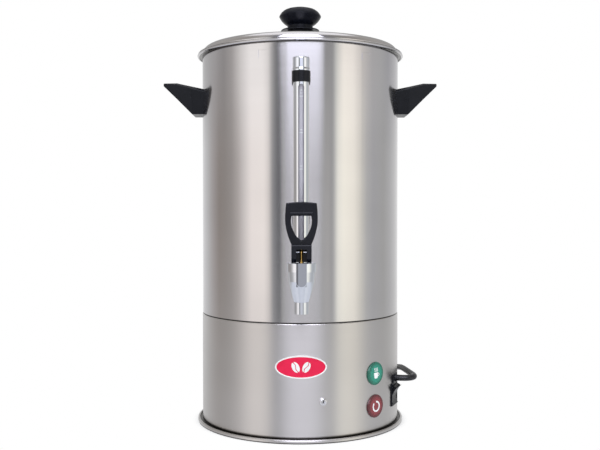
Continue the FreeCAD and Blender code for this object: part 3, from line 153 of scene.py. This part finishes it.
# Regions of painted shade in the metal's colour: each step rises from 0 to 1 between two places,
# along an axis or outwards from the urn's axis, and a region is where all its steps are 1
under_rim = (("Z", 0.4612, 0.4626), ("reach", 0.1300, 0.1290))
tank_seam_edge = (("Z", 0.1395, 0.1386), ("reach", 0.1220, 0.1230))
skirt_seam_edge = (("Z", 0.1374, 0.1379), ("reach", 0.1220, 0.1230))
foot_fold = (("Z", 0.0078, 0.0052), ("reach", 0.1294, 0.1286))
under_foot_ring = (("Z", 0.0018, 0.0009), ("reach", 0.1280, 0.1290))
# Colour of the shade painted into the grooves, the seam and under the rim and the foot ring
groove_shade_colour = (0.05, 0.045, 0.04)
# The tap's keyway face, where shade is painted into the chrome
keyway_face_y = (-0.1829, -0.1805)
keyway_foot = ("Z", 0.1854, 0.1860)

# Colours that more than one material has, dark and light
sheet_steel = (0.70, 0.69, 0.70), (0.76, 0.75, 0.76)
gloss_black = (0.004, 0.005, 0.009), (0.007, 0.008, 0.013)

# Most of a noise's values lie between these
noise_low = 0.3
noise_high = 0.7

# The studio that metal mirrors: colours by azimuth in three bands of height
side_panels = (
    (-180, (0.95, 0.95, 0.95)), (-152, (0.70, 0.70, 0.71)), (-138, (0.60, 0.60, 0.60)),
    (-121, (0.44, 0.41, 0.40)), (-108, (0.32, 0.285, 0.262)), (-96, (0.335, 0.305, 0.283)),
    (-86, (0.38, 0.35, 0.33)), (-76, (0.52, 0.48, 0.455)), (-68, (0.76, 0.71, 0.685)),
    (-58, (1.09, 1.01, 0.96)), (-42, (1.12, 1.04, 0.98)), (-36, (0.86, 0.80, 0.76)),
    (-31, (0.32, 0.32, 0.33)), (-26, (0.17, 0.17, 0.18)), (-23, (0.14, 0.14, 0.15)),
    (-20.5, (0.40, 0.40, 0.40)), (-9, (0.66, 0.65, 0.69)), (8, (0.64, 0.63, 0.66)),
    (20, (0.56, 0.56, 0.58)), (25, (0.46, 0.46, 0.46)), (31, (0.50, 0.49, 0.48)),
    (36, (0.42, 0.42, 0.42)), (39, (0.62, 0.62, 0.60)), (43, (1.10, 1.08, 0.98)),
    (50, (1.20, 1.16, 1.02)), (64, (1.10, 1.05, 0.93)), (72, (0.82, 0.79, 0.71)),
    (82, (0.54, 0.54, 0.53)), (92, (0.46, 0.46, 0.47)), (112, (0.45, 0.45, 0.44)),
    (128, (0.54, 0.54, 0.54)), (180, (0.95, 0.95, 0.95)),
)
upper_panels = (
    (-180, (0.80, 0.80, 0.80)), (-150, (0.50, 0.50, 0.50)), (-115, (0.44, 0.43, 0.43)),
    (-99, (0.34, 0.33, 0.33)), (-85, (0.47, 0.45, 0.44)), (-72, (0.88, 0.85, 0.83)),
    (-60, (1.14, 1.11, 1.09)), (-44, (1.16, 1.13, 1.11)), (-36, (0.97, 0.94, 0.92)),
    (-29, (0.30, 0.30, 0.30)), (-24, (0.13, 0.13, 0.13)), (-22, (0.34, 0.34, 0.34)),
    (-16, (0.50, 0.50, 0.52)), (-14, (0.94, 0.94, 1.06)), (18, (0.94, 0.94, 1.04)),
    (25, (0.70, 0.70, 0.76)), (28, (0.34, 0.34, 0.34)), (37, (0.38, 0.38, 0.38)),
    (40, (0.68, 0.69, 0.66)), (50, (1.22, 1.15, 1.06)), (62, (1.18, 1.11, 1.03)),
    (75, (0.75, 0.71, 0.68)), (90, (0.54, 0.53, 0.53)), (105, (0.50, 0.50, 0.50)),
    (122, (0.42, 0.42, 0.44)), (180, (0.80, 0.80, 0.80)),
)
top_panels = (
    (-180, (0.38, 0.38, 0.38)), (-110, (0.44, 0.42, 0.40)), (-70, (0.36, 0.34, 0.32)),
    (-48, (0.48, 0.46, 0.44)), (-32, (0.30, 0.30, 0.31)), (-27, (0.15, 0.15, 0.17)),
    (-23, (3.6, 3.6, 4.2)), (23, (3.6, 3.6, 4.2)), (27, (0.22, 0.22, 0.24)),
    (45, (0.30, 0.29, 0.27)), (65, (0.34, 0.32, 0.30)), (110, (0.44, 0.42, 0.40)),
    (180, (0.38, 0.38, 0.38)),
)

# Where the bands and the plain colours over and under them take over, by a direction's height
upper_band = (0.04, 0.19)
top_band = (0.23, 0.31)
plain_bands = (  # start, end, share, soft ends, colour
    (0.78, 0.90, 1.0, True, (1.05, 1.04, 1.06)),
    (-0.06, -0.24, 0.5, False, (0.58, 0.58, 0.58)),
    (-0.28, -0.40, 0.78, True, (0.72, 0.73, 0.79)),
)
even_light = (0.86, 0.87, 0.90, 1.0)
white = (1.0, 1.0, 1.0, 1.0)

# The floor: its half side, and where its shadow fades to the backdrop
floor_half = 20.0
floor_fade = (0.124, 0.140)

studio_lamps = (  # name, place, target, size, power, colour
    ("top_panel", (0.0, -0.3, 2.2), (0.0, 0.0, 0.2), (1.6, 1.2), 16.0, (1.0, 1.0, 1.0)),
    ("left_panel", (-1.6, -1.4, 1.3), (0.0, 0.0, 0.3), (0.5, 1.4), 7.0, (1.0, 0.97, 0.95)),
    ("right_panel", (1.6, -1.2, 1.2), (0.0, 0.0, 0.3), (0.5, 1.4), 7.0, (1.0, 0.99, 0.95)),
)


# Camera


def add_camera():
    """The camera, at the photograph's viewing angle."""
    data = bpy.data.cameras.new("photo_camera")
    data.sensor_width = sensor_width
    data.lens = focal_pixels / frame_width * sensor_width
    data.shift_x, data.shift_y = (shift / frame_width for shift in shift_pixels)
    data.clip_end = 60.0
    turn = math.radians(camera_azimuth)
    camera = bpy.data.objects.new("photo_camera", data)
    camera.location = (camera_reach * math.sin(turn), -camera_reach * math.cos(turn), camera_height)
    camera.rotation_euler = (math.radians(90 - camera_dip), 0.0, turn)
    scene.collection.objects.link(camera)
    scene.camera = camera


# Cord


def coil_points():
    """Half turns that run inwards on the floor, climb in the narrowest one and run outwards on top.

    The spline cuts inside its corners, so they stand a little outside the half turns.
    """
    widths = [coil_width - coil_pitch * k for k in range(coil_half_turns)]
    widths += widths[-2::-1]
    corner_step = 180 / coil_corners
    outside = 1 / math.cos(math.radians(corner_step / 2))
    y, z, side = coil_start_y, coil_floor_z, 1
    points = []
    for index, width in enumerate(widths):
        radius = side * width / 2
        centre_y = y + radius
        climb = coil_layer if index == coil_half_turns - 1 else 0.0
        for corner in range(coil_corners):
            angle = corner_step * (corner + 0.5)
            turn = math.radians(angle)
            points.append((-radius * outside * math.sin(turn),
                           centre_y - radius * outside * math.cos(turn),
                           z + climb * angle / 180))
        z += climb
        y += side * width
        side = -side
    points.append((coil_tail, y, z))
    return points


def add_cord():
    """The mains cord on one smooth curve, from the strain relief to the plug."""
    points = [cord_exit, *cord_route, *coil_points()]
    curve = bpy.data.curves.new("mains_cord", "CURVE")
    curve.dimensions = "3D"
    spline = curve.splines.new("NURBS")
    spline.points.add(len(points) - 1)
    for point, place in zip(spline.points, points):
        point.co = (*place, 1.0)
        point.radius = cord_diameter / 2
    spline.order_u = 3
    spline.use_endpoint_u = True
    spline.resolution_u = 8
    curve.bevel_depth = 1.0  # times each point's radius
    curve.bevel_resolution = 5
    curve.use_fill_caps = True
    cord = bpy.data.objects.new("mains_cord", curve)
    scene.collection.objects.link(cord)
    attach(cord, "urn")
    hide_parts("power_cord", "cord_coil")
    return cord


# Nodes


def fill(tree, node, inputs):
    """Sets inputs, by name or number, to values, or links them to other nodes' outputs."""
    for key, value in inputs.items():
        if isinstance(value, bpy.types.NodeSocket):
            tree.links.new(value, node.inputs[key])
        else:
            node.inputs[key].default_value = value


def add_node(tree, kind, inputs=None, **settings):
    """A node with its settings, which come first because some change its inputs."""
    node = tree.nodes.new(kind)
    for name, value in settings.items():
        setattr(node, name, value)
    fill(tree, node, inputs or {})
    return node


def combine(tree, operation, values):
    """Several values taken together by one operation."""
    total = values[0]
    for value in values[1:]:
        node = add_node(tree, "ShaderNodeMath", {0: total, 1: value}, operation=operation)
        total = node.outputs[0]
    return total


def remap(tree, value, start, end, low=0.0, high=1.0, soft=False):
    """A value that goes from low to high while another goes from start to end."""
    node = add_node(tree, "ShaderNodeMapRange", {
        "Value": value, "From Min": start, "From Max": end, "To Min": low, "To Max": high,
    }, interpolation_type="SMOOTHSTEP" if soft else "LINEAR")
    return node.outputs["Result"]


def stretched_noise(tree, stretch=(1, 1, 1), scale=1.0, detail=3.0):
    """Noise in the object's own space, stretched by a scale for each axis."""
    place = add_node(tree, "ShaderNodeTexCoord").outputs["Object"]
    mapping = add_node(tree, "ShaderNodeMapping", {"Vector": place, "Scale": stretch})
    noise = add_node(tree, "ShaderNodeTexNoise", {
        "Vector": mapping.outputs["Vector"], "Scale": scale, "Detail": detail, "Roughness": 0.6,
    })
    return noise.outputs["Fac"]


def by_noise(tree, noise, low, high):
    """A value that follows a noise from low to high."""
    return remap(tree, noise, noise_low, noise_high, low, high)


def blend_colours(tree, noise, first, last):
    """A colour that follows a noise from the first to the last."""
    ramp = add_node(tree, "ShaderNodeValToRGB", {"Fac": noise})
    start, end = ramp.color_ramp.elements
    start.position, end.position = noise_low, noise_high
    start.color, end.color = (*first, 1.0), (*last, 1.0)
    return ramp.outputs["Color"]


def mix_colours(tree, share, first, last):
    """The first colour with a share of the last, which is a plain colour or a node's output."""
    if isinstance(last, tuple):
        last = (*last, 1.0)
    # The colour sockets share their names with others, so they go by number
    node = add_node(tree, "ShaderNodeMix", {0: share, 6: first, 7: last}, data_type="RGBA")
    return node.outputs[2]


def mix_shaders(tree, share, first, last):
    """The first shader with a share of the last."""
    return add_node(tree, "ShaderNodeMixShader", {0: share, 1: first, 2: last}).outputs[0]


def in_regions(tree, regions):
    """1 inside any of the regions and 0 elsewhere."""
    place = add_node(tree, "ShaderNodeTexCoord").outputs["Object"]
    split = add_node(tree, "ShaderNodeSeparateXYZ", {0: place}).outputs
    flat = add_node(tree, "ShaderNodeVectorMath", {0: place, 1: (1.0, 1.0, 0.0)},
                    operation="MULTIPLY").outputs["Vector"]
    reach = add_node(tree, "ShaderNodeVectorMath", {0: flat}, operation="LENGTH").outputs["Value"]
    along = {"X": split["X"], "Y": split["Y"], "Z": split["Z"], "reach": reach}
    return combine(tree, "MAXIMUM", [
        combine(tree, "MULTIPLY", [
            remap(tree, along[way], start, end, soft=True) for way, start, end in steps])
        for steps in regions])


def between(way, low, high, soft):
    """The two steps of a region between two places, with soft ends outside them."""
    return (way, low - soft, low), (way, high + soft, high)


def cross_bar(half_x, half_z):
    """One bar of the cross of painted shade in the front screw's head."""
    return (*between("X", screw_x - half_x, screw_x + half_x, soft=0.0002),
            *between("Z", screw_z - half_z, screw_z + half_z, soft=0.0002))


def in_keyway(left, right):
    """The face of the keyway down the tap's front, between two places across it."""
    return (*between("X", left, right, soft=0.0004), *between("Y", *keyway_face_y, soft=0.0005),
            keyway_foot)


# Materials


def new_material(name):
    """A material with its node tree and its shader."""
    material = bpy.data.materials.new(name)
    material.use_nodes = True
    tree = material.node_tree
    return material, tree, tree.nodes["Principled BSDF"]


def add_bump(tree, shader, height, distance):
    """Bump of a depth that is given by distance."""
    bump = add_node(tree, "ShaderNodeBump", {
        "Height": height, "Distance": distance, "Strength": 1.0,
    })
    fill(tree, shader, {"Normal": bump.outputs["Normal"]})


def brushed_metal(name, dark, light, rough, stretch=(5, 5, 700), bump=0.0000008, anisotropy=0.85,
                  shaded_grooves=()):
    """Brushed sheet with its grain round the urn, so highlights stretch up and down, and with
    painted shade in its grooves."""
    material, tree, shader = new_material(name)
    grain = stretched_noise(tree, stretch, detail=4.0)
    cloud = stretched_noise(tree, (6, 6, 9), detail=2.0)
    colour = blend_colours(tree, cloud, dark, light)
    # Painted shade: the grooves, the seam and the undersides are darkened in the colour
    if shaded_grooves:
        colour = mix_colours(tree, in_regions(tree, shaded_grooves), colour, groove_shade_colour)
    fill(tree, shader, {
        "Base Color": colour, "Metallic": 1.0, "Roughness": by_noise(tree, grain, *rough),
    })
    if anisotropy:
        tangent = add_node(tree, "ShaderNodeTangent", direction_type="RADIAL", axis="Z")
        fill(tree, shader, {
            "Anisotropic": anisotropy, "Anisotropic Rotation": 0.25,
            "Tangent": tangent.outputs["Tangent"],
        })
    add_bump(tree, shader, grain, bump)
    return material


def plain_metal(name, dark, light, rough, grain_scale=300.0, bump=0.000004, shaded_regions=()):
    """Plated or turned metal, with painted shade in some regions."""
    material, tree, shader = new_material(name)
    grain = stretched_noise(tree, scale=grain_scale)
    colour = blend_colours(tree, grain, dark, light)
    # Painted shade in the regions, such as the screw's cross and the keyway's face
    for regions, shade_colour in shaded_regions:
        colour = mix_colours(tree, in_regions(tree, regions), colour, shade_colour)
    fill(tree, shader, {
        "Base Color": colour, "Metallic": 1.0, "Roughness": by_noise(tree, grain, *rough),
    })
    add_bump(tree, shader, grain, bump)
    return material


def moulding(name, dark, light, rough, grain_scale=1400.0, bump=0.00002, specular=0.5):
    """Moulded plastic or rubber with a fine pebble grain and a little unevenness."""
    material, tree, shader = new_material(name)
    pebble = stretched_noise(tree, scale=grain_scale, detail=2.0)
    cloud = stretched_noise(tree, scale=45.0, detail=2.0)
    fill(tree, shader, {
        "Base Color": blend_colours(tree, cloud, dark, light),
        "Roughness": by_noise(tree, cloud, *rough), "Specular IOR Level": specular,
    })
    add_bump(tree, shader, pebble, bump)
    return material


def clear_plastic(name, dark, light, rough):
    """The milky clear plastic of the gauge tube."""
    material, tree, shader = new_material(name)
    cloud = stretched_noise(tree, (1, 1, 0.2), 160.0)
    fill(tree, shader, {
        "Base Color": blend_colours(tree, cloud, dark, light),
        "Roughness": by_noise(tree, cloud, *rough), "Specular IOR Level": 0.25,
        "Transmission Weight": 0.08, "IOR": 1.45,
    })
    return material


def lens_plastic(name, dark, light, z):
    """A translucent lamp lens that is darker towards its rim."""
    material, tree, shader = new_material(name)
    place = add_node(tree, "ShaderNodeTexCoord").outputs["Object"]
    centre = on_plane(lamp_face, lamp_azimuth, z)(0.0, 0.0, 0.0)
    apart = add_node(tree, "ShaderNodeVectorMath", {0: place, 1: centre}, operation="DISTANCE")
    inner = remap(tree, apart.outputs["Value"], 0.0085, 0.0125, noise_high, noise_low)
    speckle = stretched_noise(tree, scale=900.0)
    fill(tree, shader, {
        "Base Color": blend_colours(tree, inner, dark, light),
        "Roughness": by_noise(tree, speckle, 0.22, 0.34),
        "Coat Weight": 0.5, "Coat Roughness": 0.08,
    })
    add_bump(tree, shader, speckle, 0.00001)
    return material


def make_metals():
    """The metals by slot, or by the name that dress_nodes gives them."""
    return {
        "steel": brushed_metal("steel_sheet", *sheet_steel, (0.12, 0.15),
                               shaded_grooves=(under_rim, tank_seam_edge)),
        "lid_steel": brushed_metal("lid_steel", *sheet_steel, (0.10, 0.13)),
        "skirt_steel": brushed_metal("skirt_steel", (0.66, 0.645, 0.635), (0.72, 0.705, 0.695),
                                     (0.30, 0.34), anisotropy=0.7,
                                     shaded_grooves=(foot_fold, under_foot_ring, skirt_seam_edge)),
        "bright_steel": brushed_metal("bright_steel_tube", (0.80, 0.84, 0.89), (0.86, 0.90, 0.95),
                                      (0.08, 0.14), (40, 40, 900), 0.000002, anisotropy=0.0),
        "galvanised": plain_metal("galvanised_sheet", (0.48, 0.50, 0.52), (0.66, 0.68, 0.70),
                                  (0.35, 0.5), 60.0),
        "zinc": plain_metal("zinc_plate", (0.62, 0.63, 0.66), (0.74, 0.75, 0.78), (0.22, 0.32)),
        "bright_zinc": plain_metal("bright_zinc", (0.84, 0.85, 0.88), (0.92, 0.93, 0.96),
                                   (0.14, 0.20),
                                   # The cross in the screw's head is painted shade
                                   shaded_regions=(((cross_bar(0.0017, 0.0003), cross_bar(0.0003, 0.0017)),
                                          (0.10, 0.10, 0.11)),)),
        "spring_steel": plain_metal("spring_wire", (0.50, 0.50, 0.52), (0.62, 0.62, 0.64),
                                    (0.25, 0.35)),
        "sheath": plain_metal("heater_sheath", (0.26, 0.22, 0.20), (0.42, 0.38, 0.35), (0.4, 0.55),
                              120.0),
        "chrome": plain_metal("bright_chrome", (0.79, 0.83, 0.90), (0.83, 0.87, 0.94), (0.06, 0.10),
                              200.0, 0.000001,
                              # The keyway's face is painted with shade, darker still on its left
                              # side
                              shaded_regions=(((in_keyway(-0.0055, 0.0055),), (0.50, 0.53, 0.58)),
                                    ((in_keyway(-0.0055, -0.0038),), (0.22, 0.23, 0.25)))),
        "aluminium": plain_metal("spun_aluminium", (0.70, 0.71, 0.72), (0.80, 0.81, 0.82),
                                 (0.28, 0.38), 500.0),
        "brass": plain_metal("turned_brass", (0.72, 0.45, 0.12), (0.82, 0.54, 0.18), (0.18, 0.28)),
    }


def make_plastics():
    """The plastics, rubbers and prints by slot, or by the name that other functions give them."""
    return {
        "red_enamel": moulding("red_enamel", (0.70, 0.010, 0.060), (0.80, 0.014, 0.080),
                               (0.34, 0.40), 600.0, 0.000003, specular=0.25),
        "green_lens": lens_plastic("green_lens", (0.004, 0.13, 0.085), (0.010, 0.26, 0.18),
                                   ready_lamp_z),
        "red_lens": lens_plastic("red_lens", (0.10, 0.012, 0.016), (0.24, 0.030, 0.040),
                                 power_lamp_z),
        "black_moulding": moulding("black_moulding", (0.005, 0.006, 0.009), (0.008, 0.009, 0.013),
                                   (0.26, 0.34), specular=0.22),
        "glossy_moulding": moulding("glossy_moulding", *gloss_black, (0.12, 0.17), bump=0.000004,
                                    specular=0.3),
        "knob_moulding": moulding("knob_moulding", *gloss_black, (0.24, 0.30), bump=0.000004,
                                  specular=0.14),
        "white_moulding": moulding("white_moulding", (0.70, 0.69, 0.65), (0.78, 0.77, 0.73),
                                   (0.4, 0.5)),
        "clear_tube": clear_plastic("clear_tube", (0.67, 0.66, 0.75), (0.72, 0.71, 0.80),
                                    (0.40, 0.50)),
        "silicone": moulding("silicone", (0.62, 0.60, 0.55), (0.70, 0.68, 0.63), (0.5, 0.6)),
        "black_rubber": moulding("cable_sheath", (0.006, 0.007, 0.010), (0.011, 0.012, 0.016),
                                 (0.30, 0.40), 900.0),
        "wire_cover": moulding("wire_cover", (0.60, 0.58, 0.52), (0.72, 0.70, 0.64), (0.6, 0.7)),
        "tick_print": moulding("tick_print", (0.88, 0.92, 0.96), (0.92, 0.95, 0.98), (0.5, 0.6),
                               800.0, 0.000004),
        "white_print": moulding("white_print", (0.80, 0.82, 0.83), (0.86, 0.88, 0.89), (0.35, 0.45),
                                800.0, 0.000004),
    }


def dress_nodes(materials):
    """Gives each solid its material, by its own name or by its slot."""
    own = {"base_skirt": "skirt_steel", "lid_shell": "lid_steel", "lid_knob": "knob_moulding",
           "tap_handle": "glossy_moulding", "front_screw": "bright_zinc"}
    for entry in frame["record"]["subparts"]:
        node = frame["nodes"][entry["node"]]
        node.data.materials.clear()
        node.data.materials.append(materials[own.get(entry["node"], entry["material_slot"])])


def fold_spring():
    """Gives the closing spring its own copy of its mesh."""
    spring = frame["nodes"]["valve_spring"]
    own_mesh(spring)


# Shapes for trim: each place is a function that takes x, z and a height to a point


def on_cylinder(radius, centre_y, centre_z):
    """Places on the front of an upright cylinder."""
    def place(x, z, height):
        angle = x / radius
        reach = radius + height
        return (reach * math.sin(angle), centre_y - reach * math.cos(angle), centre_z + z)
    return place


def on_plane(distance, azimuth, centre_z):
    """Places on the flat face of a disc that looks outwards."""
    angle = math.radians(azimuth)
    out = Vector((math.sin(angle), -math.cos(angle), 0.0))
    along = Vector((math.cos(angle), math.sin(angle), 0.0))

    def place(x, z, height):
        spot = out * (distance + height) + along * x
        return (spot.x, spot.y, centre_z + z)
    return place


def tilted(place, centre_x, tilt):
    """Places moved along x and turned."""
    turn = math.radians(tilt)

    def tilted_place(x, z, height):
        return place(centre_x + x * math.cos(turn) - z * math.sin(turn),
                     x * math.sin(turn) + z * math.cos(turn), height)
    return tilted_place


def raised_outline(points, place, height):
    """The vertices and faces of a thin flat plate with a given outline, open at the back."""
    count = len(points)
    verts = [place(x, z, height) for x, z in points] + [place(x, z, -print_sink) for x, z in points]
    faces = [list(range(count))]
    faces += [[k, (k + 1) % count, count + (k + 1) % count, count + k] for k in range(count)]
    return verts, faces


def stroke_sides(points, width):
    """The left and right sides of a stroke through points."""
    left, right = [], []
    last = len(points) - 1
    for k, (x, z) in enumerate(points):
        ahead, behind = points[min(k + 1, last)], points[max(k - 1, 0)]
        way = Vector((ahead[0] - behind[0], ahead[1] - behind[1])).normalized()
        left.append((x - way.y * width / 2, z + way.x * width / 2))
        right.append((x + way.y * width / 2, z - way.x * width / 2))
    return left, right


def raised_stroke(points, width, place, height):
    """The vertices and faces of a raised stroke, in four-sided faces so that bends stay whole."""
    verts, faces = [], []
    for left, right in zip(*stroke_sides(points, width)):
        verts += [place(*left, -print_sink), place(*left, height), place(*right, height),
                  place(*right, -print_sink)]
    last = len(verts) - 4
    for a in range(0, last, 4):
        b = a + 4
        faces += [[a, a + 1, b + 1, b], [a + 1, a + 2, b + 2, b + 1], [a + 2, a + 3, b + 3, b + 2]]
    faces += [[0, 1, 2, 3], [last, last + 1, last + 2, last + 3]]
    return verts, faces


def gather(parts):
    """Several shapes as one."""
    verts, faces = [], []
    for part_verts, part_faces in parts:
        start = len(verts)
        verts += part_verts
        faces += [[start + k for k in face] for face in part_faces]
    return verts, faces


def arc(centre, radius, start, end, count=24):
    """Points along an arc, counted anticlockwise from the right."""
    points = []
    for k in range(count + 1):
        angle = math.radians(start + (end - start) * k / count)
        points.append((centre[0] + radius * math.cos(angle), centre[1] + radius * math.sin(angle)))
    return points


def add_mesh(name, verts, faces, slot, material, smooth=False):
    """A piece of trim that rides on the urn."""
    mesh = bpy.data.meshes.new(name)
    mesh.from_pydata(verts, [], faces)
    build = bmesh.new()
    build.from_mesh(mesh)
    bmesh.ops.recalc_face_normals(build, faces=build.faces)
    build.to_mesh(mesh)
    build.free()
    for polygon in mesh.polygons:
        polygon.use_smooth = smooth
    mesh.materials.append(material)
    piece = bpy.data.objects.new(name, mesh)
    scene.collection.objects.link(piece)
    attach(piece, "urn")


# Trim


def coffee_bean(place):
    """The two halves of a coffee bean, with a wavy crease between them."""
    crease = [(crease_swing * math.sin(math.pi * k / 6), crease_half_length * k / 6)
              for k in range(-6, 7)]
    halves = []
    for side in (-1, 1):
        outer = [(side * bean_half[0] * math.sin(math.radians(angle)),
                  bean_half[1] * math.cos(math.radians(angle))) for angle in range(12, 169, 12)]
        inner = [(x + side * crease_half_gap, z) for x, z in crease]
        halves.append(raised_outline(outer + inner, place, bean_height))
    return halves


def add_badge_trim(material):
    """The badge's pale raised rim and its two coffee beans."""
    place = on_cylinder(badge_face, 0.0, badge_z)
    verts, faces = [], []
    row = len(rim_profile)
    for k in range(rim_steps):
        angle = 2 * math.pi * k / rim_steps
        for inset, height in rim_profile:
            half_x, half_z = (half + rim_overhang - inset for half in badge_half)
            verts.append(place(half_x * math.cos(angle), half_z * math.sin(angle), height))
        for j in range(row - 1):
            a, b = row * k + j, row * ((k + 1) % rim_steps) + j
            faces.append([a, b, b + 1, a + 1])
    add_mesh("badge_rim", verts, faces, "zinc", material, smooth=True)
    beans = []
    for side in (-1, 1):
        beans += coffee_bean(tilted(place, side * bean_x, -side * bean_tilt))
    add_mesh("badge_beans", *gather(beans), "zinc", material)


def add_lamp_marks(material):
    """A cup with steam on the upper lamp and a power ring on the lower one."""
    place = on_plane(lamp_face, lamp_azimuth, ready_lamp_z)
    handle = arc(cup_handle_centre, cup_handle_radius, -75, 95)
    parts = [raised_outline(cup_outline, place, lamp_mark_height),
             raised_stroke(handle, cup_handle_width, place, lamp_mark_height)]
    for x in steam_x:
        wave = [(x + steam_swing * math.sin(k * 0.9), steam_foot_z + steam_length * k / 7)
                for k in range(8)]
        parts.append(raised_stroke(wave, steam_width, place, lamp_mark_height))
    add_mesh("ready_lamp_cup", *gather(parts), "white_moulding", material)
    place = on_plane(lamp_face, lamp_azimuth, power_lamp_z)
    ring = arc(power_ring_centre, power_ring_radius, -225, 92, 40)
    add_mesh("power_lamp_ring", *raised_stroke(ring, power_ring_width, place, lamp_mark_height),
             "white_moulding", material)


def add_gauge_scale(material):
    """Plain level ticks round the front of the clear tube, three in the top group and two below."""
    place = on_cylinder(glass_radius, gauge_y, 0.0)
    parts = []
    for group in range(tick_groups):
        low_z = tick_top_z - tick_group_pitch * group
        for k, half in enumerate(tick_half_lengths[:2 if group else 3]):
            tick = [(half * j / 4, low_z + tick_pitch * k) for j in range(-4, 5)]
            parts.append(raised_stroke(tick, tick_width, place, tick_height))
    add_mesh("gauge_ticks", *gather(parts), "white_moulding", material)


# Studio


def by_azimuth(tree, turn, panels):
    """A colour by azimuth, where turn goes from 0 to 1 round the urn."""
    ramp = add_node(tree, "ShaderNodeValToRGB", {"Fac": turn})
    stops = ramp.color_ramp.elements
    while len(stops) < len(panels):
        stops.new(0.5)
    # The colours come last, because a stop can change its number as it gets its place
    for stop, (azimuth, _) in zip(stops, panels):
        stop.position = (azimuth + 180) / 360
    for stop, (_, colour) in zip(stops, panels):
        stop.color = (*colour, 1.0)
    return ramp.outputs["Color"]


def background(tree, colour):
    return add_node(tree, "ShaderNodeBackground", {"Color": colour}).outputs[0]


def add_world():
    """Panels and dark gaps for glossy rays, an even light for the rest and a white backdrop."""
    world = bpy.data.worlds.new("studio")
    scene.world = world
    world.use_nodes = True
    tree = world.node_tree
    tree.nodes.clear()
    direction = add_node(tree, "ShaderNodeTexCoord").outputs["Generated"]
    split = add_node(tree, "ShaderNodeSeparateXYZ", {0: direction}).outputs
    front = combine(tree, "MULTIPLY", [split["Y"], -1.0])
    turn = remap(tree, combine(tree, "ARCTAN2", [split["X"], front]), -math.pi, math.pi)
    light = by_azimuth(tree, turn, side_panels)
    for panels, (start, end) in ((upper_panels, upper_band), (top_panels, top_band)):
        share = remap(tree, split["Z"], start, end, soft=True)
        light = mix_colours(tree, share, light, by_azimuth(tree, turn, panels))
    for start, end, most, soft, colour in plain_bands:
        share = remap(tree, split["Z"], start, end, high=most, soft=soft)
        light = mix_colours(tree, share, light, colour)
    rays = add_node(tree, "ShaderNodeLightPath").outputs
    on_object = mix_shaders(tree, rays["Is Glossy Ray"], background(tree, even_light),
                            background(tree, light))
    seen = combine(tree, "MAXIMUM", [rays["Is Camera Ray"], rays["Is Transmission Ray"]])
    surface = mix_shaders(tree, seen, on_object, background(tree, white))
    add_node(tree, "ShaderNodeOutputWorld", {"Surface": surface})


def add_floor():
    """A pale floor that keeps the urn's shadow, fades to white round it and is clear from below."""
    mesh = bpy.data.meshes.new("floor")
    corners = [(x * floor_half, y * floor_half, 0) for x, y in ((-1, -1), (1, -1), (1, 1), (-1, 1))]
    mesh.from_pydata(corners, [], [(0, 1, 2, 3)])
    floor = bpy.data.objects.new("floor", mesh)
    scene.collection.objects.link(floor)
    material, tree, shader = new_material("pale_floor")
    cloud = stretched_noise(tree, scale=3.0)
    fill(tree, shader, {
        "Base Color": blend_colours(tree, cloud, (0.92, 0.92, 0.92), (0.94, 0.94, 0.94)),
        "Roughness": 0.9, "Specular IOR Level": 0.1,
    })
    place = add_node(tree, "ShaderNodeTexCoord").outputs["Object"]
    apart = add_node(tree, "ShaderNodeVectorMath", {0: place}, operation="LENGTH").outputs["Value"]
    fade = remap(tree, apart, *floor_fade, soft=True)
    camera_ray = add_node(tree, "ShaderNodeLightPath").outputs["Is Camera Ray"]
    glow = add_node(tree, "ShaderNodeEmission").outputs[0]
    seen = combine(tree, "MULTIPLY", [fade, camera_ray])
    upper = mix_shaders(tree, seen, shader.outputs[0], glow)
    from_below = add_node(tree, "ShaderNodeNewGeometry").outputs["Backfacing"]
    clear = add_node(tree, "ShaderNodeBsdfTransparent").outputs[0]
    fill(tree, tree.nodes["Material Output"], {
        "Surface": mix_shaders(tree, from_below, upper, clear),
    })
    mesh.materials.append(material)
    floor.visible_glossy = False


def add_studio_lamps():
    """Soft lamps that metal doesn't mirror."""
    for name, place, target, size, power, colour in studio_lamps:
        data = bpy.data.lights.new(name, "AREA")
        data.shape = "RECTANGLE"
        data.size, data.size_y = size
        data.energy = power
        data.color = colour
        lamp = bpy.data.objects.new(name, data)
        lamp.location = place
        lamp.rotation_euler = (Vector(target) - Vector(place)).to_track_quat("-Z", "Y").to_euler()
        lamp.visible_glossy = False
        scene.collection.objects.link(lamp)


scene.view_settings.view_transform = "Standard"
add_camera()
cord = add_cord()
materials = {**make_metals(), **make_plastics()}
cord.data.materials.append(materials["black_rubber"])
dress_nodes(materials)
fold_spring()
add_badge_trim(materials["white_print"])
add_lamp_marks(materials["white_print"])
add_gauge_scale(materials["tick_print"])
add_world()
add_floor()
add_studio_lamps()
